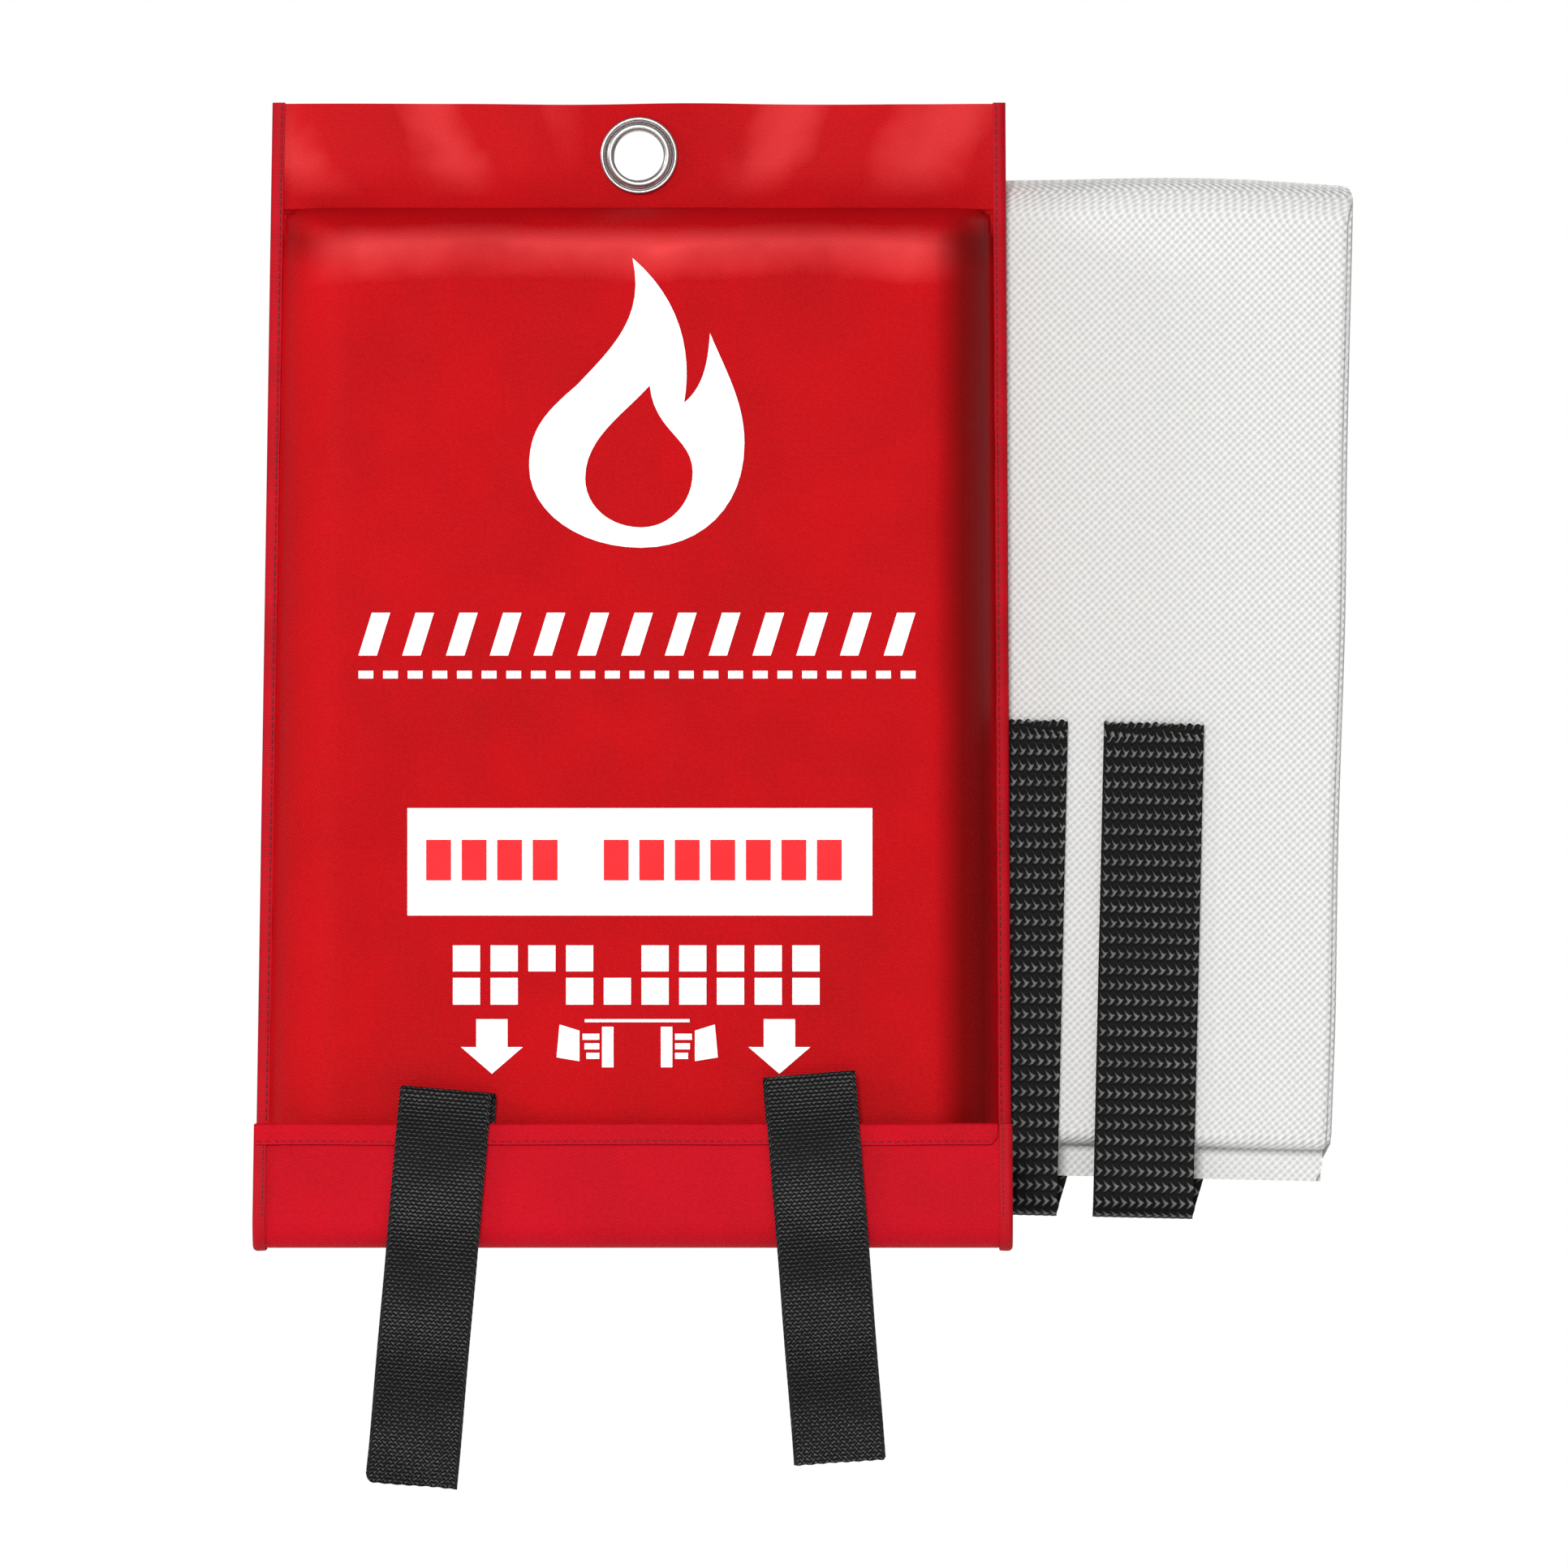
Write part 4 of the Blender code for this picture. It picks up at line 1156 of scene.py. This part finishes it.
def pulling_hand(centre, facing):
    """A tape end with a mitten-shaped hand round it; facing is -1 for the left hand."""
    tape_end = block(centre - 1.5 * MM, centre + 1.5 * MM, -239.2 * MM, -228.6 * MM)
    parts = [[tape_end]]
    for i in range(3):
        top = (-230.4 - 2.5 * i) * MM
        start, end = 2.2 * MM, 6.6 * MM - 0.5 * MM * i
        finger = block(start, end, top - 1.6 * MM, top)
        outline = finger if facing > 0 else finger[::-1]
        parts.append([[(centre + facing * x, z) for x, z in outline]])
    cuff = [(7.4, -229.6), (12.6, -228.0), (13.4, -236.6), (7.4, -237.6)]
    cuff = [(centre + facing * x * MM, z * MM) for x, z in cuff]
    parts.append([cuff[::-1] if facing > 0 else cuff])
    return parts


white_marks = [flame]
white_marks += block_row([13], -73.2 * MM, 69.0 * MM, -131.5 * MM, -120.3 * MM, 0.42, 3.5 * MM)
white_marks += block_row([23], -73.2 * MM, 72.5 * MM, -137.5 * MM, -135.5 * MM, 0.6)
white_marks += block_row([4, 5], -48.5 * MM, 47.4 * MM, -214.1 * MM, -207.3 * MM, 0.72)
white_marks += block_row([2, 7], -48.5 * MM, 47.4 * MM, -222.8 * MM, -215.8 * MM, 0.72)
white_marks += [[arrow(-38.3 * MM)], [arrow(36.9 * MM)]]
white_marks += pulling_hand(-8.0 * MM, -1) + pulling_hand(7.4 * MM, 1)
white_marks.append([block(-14.0 * MM, 13.4 * MM, -227.4 * MM, -226.6 * MM)])
white_print = print_on_cloth("white_print", white_marks, WHITE_INK)

label_outline = block(-60.4 * MM, 61.2 * MM, -199.5 * MM, -171.4 * MM)
label = print_on_cloth("white_label", [[label_outline]], WHITE_INK)
label_blocks = block_row([4, 7], -55.5 * MM, 53.2 * MM, -190.3 * MM, -179.7 * MM, 0.70)
label_print = print_on_cloth("label_blocks", label_blocks, RED_INK, PRINT_LIFT + 1.5 * PRINT)

# ---------------------------------------------------------------- packed blanket
# A metre square of woven glass fibre, pleated into a strip six layers thick and folded twice into
# the bundle inside the pouch. Its two hemmed ends hang below the bundle, where the tapes are sewn.

GLASS = 0.62 * MM
PLEATS = 6
PLEAT_PITCH = 0.86 * MM
STRIP_OFFSET = 7.95 * MM
INNER_OFFSET = 2.65 * MM
BLANKET_DEPTH = 21.0 * MM
PRESSED = 0.74
GLASS_WHITE = (0.78, 0.78, 0.765)
GLASS_SHADE = (0.52, 0.52, 0.505)
GLASS_PITCH = 2.12 * MM


def glass_twill(name):
    """Glass cloth: pale slubs on the diagonal over greyer gaps, with a faint silky gloss."""
    paint = Paint(name)
    source, (u, v, _) = paint.places()
    clouds = paint.speckle(source, 130.0, 2.0)
    grain = paint.speckle(source, 900.0, 2.0, 0.6)
    u = paint.sum("MULTIPLY_ADD", grain, 0.5 * MM, paint.sum("MULTIPLY_ADD", clouds, 1.2 * MM, u))
    v = paint.sum("MULTIPLY_ADD", clouds, 1.0 * MM, v)
    rising = paint.wave(paint.sum("SUBTRACT", u, v), GLASS_PITCH)
    falling = paint.wave(paint.sum("ADD", u, v), GLASS_PITCH * 1.04)
    slubs = paint.sum("MULTIPLY_ADD", falling, 0.75, rising)
    tone = paint.spread(paint.sum("MULTIPLY_ADD", grain, 0.5, slubs), -1.6, 1.2)
    paint.link(paint.blend(tone, GLASS_SHADE, GLASS_WHITE), "Base Color")
    paint.relief(slubs, 0.16 * MM, 0.8)
    paint.set(Roughness=0.62, Specular_IOR_Level=0.3, Sheen_Weight=0.1)
    return paint.material


def arc_path(centre, radius, start, end, count, flat=1.0):
    """(across, z) and normal round a bend by angle in degrees, pressed to this share in z."""
    bend = []
    for i in range(count + 1):
        a = math.radians(start + (end - start) * i / count)
        out = (math.cos(a), flat * math.sin(a))
        bend.append(((centre[0] + radius * out[0], centre[1] + radius * out[1]), out))
    return bend


def strip_path(height, drop):
    """The pleated strip's middle from one free end to the other, with normals to its outside."""
    top = -STRIP_OFFSET - 2.5 * MM
    fold = -height + PRESSED * (INNER_OFFSET + 2.5 * MM)
    down = -height - drop
    path = [((STRIP_OFFSET, z), (1.0, 0.0)) for z in steps(down, top, 5.0 * MM)[:-1]]
    path += arc_path((0.0, top), STRIP_OFFSET, 0, 180, 16)
    path += [((-STRIP_OFFSET, z), (-1.0, 0.0)) for z in steps(top, fold, 5.0 * MM)[1:-1]]
    middle = -(STRIP_OFFSET + INNER_OFFSET) / 2
    path += arc_path((middle, fold), INNER_OFFSET, 180, 360, 12, PRESSED)
    path += [((-INNER_OFFSET, z), (1.0, 0.0)) for z in steps(fold, top, 5.0 * MM)[1:-1]]
    inner = arc_path((0.0, top), INNER_OFFSET, 180, 0, 12)
    path += [(point, (-out[0], -out[1])) for point, out in inner]
    path += [((INNER_OFFSET, z), (-1.0, 0.0)) for z in steps(top, down, 5.0 * MM)[1:]]
    return path


def folded_blanket(name, width, height, drop, rounding, hem_inset, place):
    """The whole folded sheet. place turns (x, across, z) in the bundle's frame into the scene's."""
    half_pitch = PLEAT_PITCH / 2
    flat_half = BLANKET_DEPTH / 2 - rounding

    def half_width(across, z):
        sideways = max(abs(across) - flat_half, 0.0) / rounding
        upward = max(z + rounding, 0.0) / rounding
        downward = max(-height + rounding - z, 0.0) / rounding if across < 0 else 0.0
        reach = min(math.hypot(sideways, max(upward, downward)), 0.97)
        narrowed = rounding * (1 - math.sqrt(1 - reach * reach))
        if z < -height:
            narrowed = max(narrowed, hem_inset)
        return width / 2 - narrowed - half_pitch - GLASS / 2

    shares = np.linspace(-1.0, 1.0, 15)
    rows, flat, length, last = [], [], 0.0, None
    for (across, z), (out_across, out_z) in strip_path(height, drop):
        if last is not None:
            length += math.hypot(across - last[0], z - last[1])
        last = (across, z)
        row, cloth, run, previous = [], [], 0.0, None
        for k in range(PLEATS):
            off = (k - (PLEATS - 1) / 2) * PLEAT_PITCH
            q, height_here = across + out_across * off, z + out_z * off
            half = half_width(q, height_here)
            way = 1 if k % 2 == 0 else -1
            for share in shares:
                row.append((way * share * half, q, height_here))
            if k < PLEATS - 1:
                for turn in (36, 72, 108, 144):
                    a = math.radians(turn)
                    bend_off = off + half_pitch * (1 - math.cos(a))
                    x = way * (half + half_pitch * math.sin(a))
                    row.append((x, across + out_across * bend_off, z + out_z * bend_off))
        for point in row:
            if previous is not None:
                run += math.dist(point, previous)
            previous = point
            cloth.append((run, length))
        rows.append([place(*point) for point in row])
        flat.append(cloth)
    return smooth(grid_sheet(name, rows, GLASS, GLASS_CLOTH, flat), 60)


GLASS_CLOTH = glass_twill("woven_glass")
packed_low, packed_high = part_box("packed_blanket")
packed_hem_low, packed_hem_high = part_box("packed_blanket_hem")
PACKED_WIDTH = packed_high.x - packed_low.x
PACKED_HEIGHT = packed_high.z - packed_low.z
PACKED_DROP = packed_low.z - packed_hem_low.z
PACKED_MIDDLE_Y = (packed_low.y + packed_high.y) / 2


def in_pouch(x, across, z):
    """The free ends are at the front, so across runs towards the front.

    The rear gives way a little where the open flap's hook strip presses on the drawn blanket.
    """
    settled = 0.12 * MM * swell(x, z, 50 * MM, 1.5)
    height = packed_high.z + z
    beside = 1 - ramp(abs(x), 19 * MM, 27 * MM)
    level = ramp(height, -70 * MM, -60 * MM) * (1 - ramp(height, -44 * MM, -36 * MM))
    pressed = 1.1 * MM * beside * level * ramp(-across, 0.0, BLANKET_DEPTH / 2)
    return (x, PACKED_MIDDLE_Y - across * 0.985 + settled - pressed, height)


packed = folded_blanket(
    "packed_blanket_cloth",
    PACKED_WIDTH,
    PACKED_HEIGHT,
    PACKED_DROP,
    9.0 * MM,
    packed_hem_low.x - packed_low.x,
    in_pouch,
)
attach(packed, "packed_blanket")
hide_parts("packed_blanket", "packed_blanket_hem")

# ---------------------------------------------------------------- loose blanket
# The second blanket, the same folded sheet of glass fibre, which leans behind the pouch with its
# hemmed ends at the rear.

LOOSE_LEAN = math.radians(1.3)
LOOSE_CORNER_X = 188.2 * MM
LOOSE_TOP_Z = -7.5 * MM
LOOSE_WIDTH = 171.8 * MM
LOOSE_HEIGHT = PACKED_HEIGHT
LOOSE_REAR_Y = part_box("loose_blanket")[1].y
LOOSE_MIDDLE_Y = LOOSE_REAR_Y - BLANKET_DEPTH / 2
FACING_Y = 12.3 * MM
FACING = 0.4 * MM
FACING_COLUMNS = 94
HEM_INSET = 2.5 * MM


def leaning(x, y, z):
    """A point in the loose blanket's own frame, from its top right corner, in the scene."""
    c, s = math.cos(LOOSE_LEAN), math.sin(LOOSE_LEAN)
    return (LOOSE_CORNER_X + x * c + z * s, y, LOOSE_TOP_Z - x * s + z * c)


def behind_pouch(x, across, z):
    """The free ends are at the rear. The cloth sags in soft waves, most of all along its top."""
    x -= LOOSE_WIDTH / 2
    near_top = ramp(z, -30 * MM, 0.0)
    y = LOOSE_MIDDLE_Y + across * 0.97
    y += 0.30 * MM * swell(x, z, 60 * MM, 3.3)
    z += (1.0 * swell(x, 0.0, 48 * MM, 6.6) - 0.6 * math.sin(x / (24 * MM))) * MM * near_top
    x += 1.3 * MM * swell(0.0, z, 70 * MM, 2.9) * ramp(abs(x + LOOSE_WIDTH / 2), 30 * MM, 80 * MM)
    z += 0.5 * MM * swell(x, 1.0, 40 * MM, 4.1) * ramp(-z, 220 * MM, 250 * MM)
    return leaning(x, y, z)


loose = folded_blanket(
    "loose_blanket_cloth",
    LOOSE_WIDTH,
    LOOSE_HEIGHT,
    PACKED_DROP,
    4.5 * MM,
    2.5 * MM,
    behind_pouch,
)
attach(loose, "loose_blanket")
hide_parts("loose_blanket", "loose_blanket_hem")

hem_stitch_drop = 2.4 * MM
loose_hem_y = LOOSE_MIDDLE_Y + (INNER_OFFSET - 2.5 * PLEAT_PITCH) * 0.97 - GLASS / 2
loose_places = []
for x in steps(-LOOSE_WIDTH + 6 * MM, -6 * MM, 3.2 * MM):
    point = leaning(x, loose_hem_y, -LOOSE_HEIGHT - PACKED_DROP + hem_stitch_drop)
    loose_places.append((point, (1, 0, 0), (0, -1, 0)))
PALE_THREAD = thread("pale_thread", (0.70, 0.70, 0.68))

# A strip of the same cloth faces the hem, over the sewn ends of the tapes.
facing_rows, facing_flat = [], []
for drop in steps(-0.6 * MM, PACKED_DROP, 0.9 * MM):
    ends = -HEM_INSET - 1.6 * MM * ramp(drop, 0.55 * PACKED_DROP, PACKED_DROP)
    across_facing = np.linspace(-LOOSE_WIDTH + HEM_INSET, ends, FACING_COLUMNS)
    row = []
    for x in across_facing:
        ripple = 0.05 * MM * math.sin(x * math.tau / (3.6 * MM))
        row.append(leaning(x, FACING_Y + ripple, -LOOSE_HEIGHT - drop))
    facing_rows.append(row)
    facing_flat.append([(float(x), -drop) for x in across_facing])
facing = grid_sheet("loose_hem_facing", facing_rows, FACING, GLASS_CLOTH, facing_flat)
smooth(facing, 60)
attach(facing, "loose_blanket")
loose_seam = stitches("loose_hem_stitches", loose_places, PALE_THREAD, 2.2 * MM, 0.2 * MM)
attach(loose_seam, "loose_blanket")
packed_hem_y = PACKED_MIDDLE_Y - (STRIP_OFFSET + 2.5 * PLEAT_PITCH) * 0.985 - GLASS / 2
packed_places = [
    ((x, packed_hem_y, packed_hem_low.z + hem_stitch_drop), (1, 0, 0), (0, -1, 0))
    for x in steps(packed_hem_low.x + 3 * MM, packed_hem_high.x - 3 * MM, 3.2 * MM)
    if min(abs(x + 54 * MM), abs(x - 48 * MM)) > 15 * MM
]
packed_seam = stitches("packed_hem_stitches", packed_places, PALE_THREAD, 2.2 * MM, 0.2 * MM)
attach(packed_seam, "packed_blanket")

# ---------------------------------------------------------------- pull tapes
# Two black webbing tapes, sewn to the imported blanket's hem. Each turns up behind the flap, folds
# over its top edge and hangs in front, with a heat-cut end.

WEBBING = 0.9 * MM
PULL_WIDTH = 24.0 * MM
PULL_ROW = 1.03 * MM
PULL_DASH = 1.45 * MM
RIB = 0.09 * MM
WEB_BLACK = (0.0022, 0.0022, 0.0024)
# The grey that the pull tapes' floats are painted towards: painted sheen.
WEB_GREY = (0.105, 0.105, 0.107)
SEWN_DEPTH = 22.1 * MM
UP_DEPTH = 24.5 * MM
HANG_DEPTH = 28.0 * MM
TURN_Z = -278.0 * MM
PULL_TAPES = {
    "left": {
        "fold": (-50.4 * MM, -247.05 * MM),
        "lean": math.radians(5.0),
        "hang": 101.6 * MM,
        "inner": 1.3 * MM,
    },
    "right": {
        "fold": (44.9 * MM, -243.05 * MM),
        "lean": math.radians(-4.5),
        "hang": 99.6 * MM,
        "inner": -0.3 * MM,
    },
}


def path_normals(path):
    """Each (across, z) of a path with its unit normal, to the left of its direction."""
    found = []
    for i in range(len(path)):
        before, after = path[max(i - 1, 0)], path[min(i + 1, len(path) - 1)]
        run, climb = after[0] - before[0], after[1] - before[1]
        length = math.hypot(run, climb)
        found.append((climb / length, -run / length))
    return found


def walk(path, pitch):
    """The same path with points this far apart."""
    path = np.asarray(path)
    along = np.concatenate([[0], np.cumsum(np.linalg.norm(np.diff(path, axis=0), axis=1))])
    where = steps(0.0, along[-1], pitch)
    placed_at = [np.interp(where, along, path[:, axis]) for axis in (0, 1)]
    return np.stack(placed_at, 1), where


def dashes(x, v):
    """Height of the plain weave: rows of short floats, each row half a float on from the last."""
    row = np.round(v / PULL_ROW)
    ridge = np.cos(2 * np.pi * v / PULL_ROW)
    floats = np.cos(2 * np.pi * x / PULL_DASH + np.pi * row)
    return 0.7 * ridge + 0.3 * floats


def webbing(name, fibre_grey, row, dash, chevrons):
    """Black polypropylene webbing. The floats are painted lighter over nearly black gaps, as a
    painted sheen.
    """
    paint = Paint(name)
    source, (u, v, _) = paint.places()
    grain = paint.speckle(source, 2000.0, 2.0, 0.6)
    clouds = paint.speckle(source, 90.0, 2.0)
    slack = paint.sum("MULTIPLY_ADD", paint.speckle(source, 420.0), 0.35 * MM, v)
    if chevrons:
        zig = paint.sum("PINGPONG", slack, row)
        ridge = paint.spread(zig, 0.0, row, -1.0, 0.8)
        floats = paint.wave(paint.sum("MULTIPLY_ADD", zig, -0.9, u), dash, math.pi / 2)
    else:
        ridge = paint.wave(slack, row, math.pi / 2)
        step = paint.sum("MULTIPLY", paint.sum("ROUND", paint.sum("DIVIDE", v, row)), dash / 2)
        floats = paint.wave(paint.sum("ADD", u, step), dash, math.pi / 2)
    raised = paint.sum("MULTIPLY_ADD", floats, 0.95 if chevrons else 0.4, ridge)
    # Painted sheen: the raised floats are painted towards the grey, broken by random cloudy tone.
    shine = paint.spread(paint.sum("MULTIPLY_ADD", grain, 0.9, raised), 0.75, 1.95)
    woven_tone = paint.sum("MULTIPLY", shine, paint.spread(clouds, 0.35, 0.65, 0.75, 1.10))
    paint.link(paint.blend(woven_tone, WEB_BLACK, fibre_grey), "Base Color")
    paint.relief(raised, 0.08 * MM, 0.7)
    paint.set(Roughness=0.55, Specular_IOR_Level=0.08)
    return paint.material


PULL_WEB = webbing("pull_webbing", WEB_GREY, PULL_ROW, PULL_DASH, False)


def bend_points(centre, radius, start, end, count=14):
    """(depth, z) round a bend, by angle in degrees from +depth towards +z."""
    angles = [math.radians(start + (end - start) * i / count) for i in range(count + 1)]
    return [(centre[0] + radius * math.cos(a), centre[1] + radius * math.sin(a)) for a in angles]


def cut_end(x, seed):
    """How far the heat-cut end wanders from square: a shallow slant and small teeth."""
    return 0.10 * MM * math.sin(x / (0.5 * MM) + seed) + 0.3 * MM * swell(x, 0.0, 9 * MM, seed)


def clipped(x, width, clip):
    """How much a rounded corner takes off the end at this place across the tape."""
    reach, side = clip
    inside = (width / 2 - side * x) / reach
    return reach * (1 - math.sqrt(max(1 - (1 - inside) ** 2, 0.0))) if inside < 1 else 0.0


for word, tape in PULL_TAPES.items():
    fold_x, fold_z = tape["fold"]
    turn_z = TURN_Z - fold_z
    middle = (UP_DEPTH + HANG_DEPTH) / 2
    sewn_middle = (SEWN_DEPTH + UP_DEPTH) / 2
    path = [(SEWN_DEPTH, turn_z + 1.2 * MM)]
    path += bend_points((sewn_middle, turn_z), (UP_DEPTH - SEWN_DEPTH) / 2, 180, 360)
    path += bend_points((middle, 0.0), (HANG_DEPTH - UP_DEPTH) / 2, 180, 0)
    path += [(HANG_DEPTH, -tape["hang"])]
    points, along = walk(path, 0.26 * MM)
    normals = path_normals(points)
    columns = np.linspace(-PULL_WIDTH / 2, PULL_WIDTH / 2, 57)
    cosine, sine = math.cos(tape["lean"]), math.sin(tape["lean"])
    clip = (2.2 * MM, -1) if word == "left" else (0.8 * MM, 1)
    end_start = -tape["hang"] + 12 * MM
    rows = []
    for (depth, z), (out_depth, out_z), v in zip(points, normals, along):
        selvedge = 1 - np.clip((np.abs(columns) - PULL_WIDTH / 2 + 0.8 * MM) / (0.8 * MM), 0, 1)
        height = RIB * dashes(columns, v) * selvedge
        hanging = depth > HANG_DEPTH - 0.1 * MM
        shown = ramp(-z, -end_start, tape["hang"]) if hanging else 0.0
        inner_shift = tape["inner"] * ramp(middle - depth, -1.7 * MM, 1.7 * MM)
        row = []
        for x, lift in zip(columns, height):
            end = (cut_end(x, fold_x / MM) + clipped(x, PULL_WIDTH, clip)) * shown
            bow = 0.35 * MM * swell(x, z, 40 * MM, fold_x / MM) * ramp(-z, 10 * MM, 40 * MM)
            local_x = x + (0.25 * MM * swell(0.0, z, 30 * MM, 3.0) if hanging else inner_shift)
            d = depth + out_depth * lift + (max(bow, -0.1 * MM) if hanging else 0.0)
            local_z = z + out_z * lift + end
            turned_x = local_x * cosine + local_z * sine
            turned_z = local_z * cosine - local_x * sine
            row.append((fold_x + turned_x, -d, fold_z + turned_z))
        rows.append(row)
    webbing_piece = grid_sheet(f"{word}_pull_tape", rows, WEBBING, PULL_WEB)
    smooth(webbing_piece, 60)
    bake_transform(webbing_piece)
    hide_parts(f"{word}_tape_root", f"{word}_tape")

# ---------------------------------------------------------------- loose blanket's tapes
# Two wider tapes of coarse twill webbing, sewn to the loose blanket's hem. Each loops under the
# blanket's lower edge and lies up its front.

LOOSE_TAPE_WIDTH = 26.3 * MM
LOOSE_ROW = 2.05 * MM
LOOSE_DASH = 2.2 * MM
LOOP_RADIUS = 5.3 * MM
LOOP_Y = 8.1 * MM
LOOP_Z = -267.2 * MM
TAPE_RISE = 124.5 * MM
REAR_LEG = 10.8 * MM
REAR_SKEW = 4.4 * MM
# The grey that the loose tapes' floats are painted towards: painted sheen.
LOOSE_GREY = (0.18, 0.175, 0.17)
LOOSE_TAPE_PLACES = {"left": -85.4 * MM, "right": -49.6 * MM}
LOOSE_WEB = webbing("loose_webbing", LOOSE_GREY, LOOSE_ROW, LOOSE_DASH, True)


def chevron_height(x, v):
    """Height of the twill webbing: rows of floats that lean one way and then the other."""
    zig = LOOSE_ROW - abs(v % (2 * LOOSE_ROW) - LOOSE_ROW)
    floats = np.cos(2 * np.pi * (x - 0.9 * zig) / LOOSE_DASH)
    return 0.5 * floats + 0.5 * math.cos(math.pi * (1 - zig / LOOSE_ROW))


for word, centre in LOOSE_TAPE_PLACES.items():
    path = [(-LOOP_RADIUS, REAR_LEG)]
    path += bend_points((0.0, 0.0), LOOP_RADIUS, 180, 360, 24)
    path += [(LOOP_RADIUS, TAPE_RISE)]
    points, along = walk(path, 0.34 * MM)
    normals = path_normals(points)
    columns = np.linspace(-LOOSE_TAPE_WIDTH / 2, LOOSE_TAPE_WIDTH / 2, 61)
    rows = []
    for (forward, z), (out_forward, out_z), v in zip(points, normals, along):
        edge = np.clip((LOOSE_TAPE_WIDTH / 2 - np.abs(columns)) / (0.9 * MM), 0, 1)
        height = 0.11 * MM * chevron_height(columns, v) * edge
        climbed = (z + LOOP_RADIUS) / (REAR_LEG + LOOP_RADIUS)
        rear_share = climbed if forward < 0 else 0.0
        shown = ramp(z, TAPE_RISE - 10 * MM, TAPE_RISE) if forward > 0 else 0.0
        row = []
        for x, lift in zip(columns, height):
            teeth = 0.3 * MM * math.sin(x * math.tau / LOOSE_DASH)
            end = (teeth + cut_end(x, centre / MM)) * shown
            skewed = x + REAR_SKEW * rear_share
            bow = 0.2 * MM * swell(x, z, 45 * MM, centre / MM)
            y = LOOP_Y - (forward + out_forward * lift) + (bow if forward > 0 else 0.0)
            row.append(leaning(centre + skewed, y, LOOP_Z + z + out_z * lift + end))
        rows.append(row)
    looped = grid_sheet(f"loose_{word}_webbing", rows, WEBBING, LOOSE_WEB)
    smooth(looped, 60)
    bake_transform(looped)
    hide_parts(f"loose_{word}_tape_root", f"loose_{word}_tape")
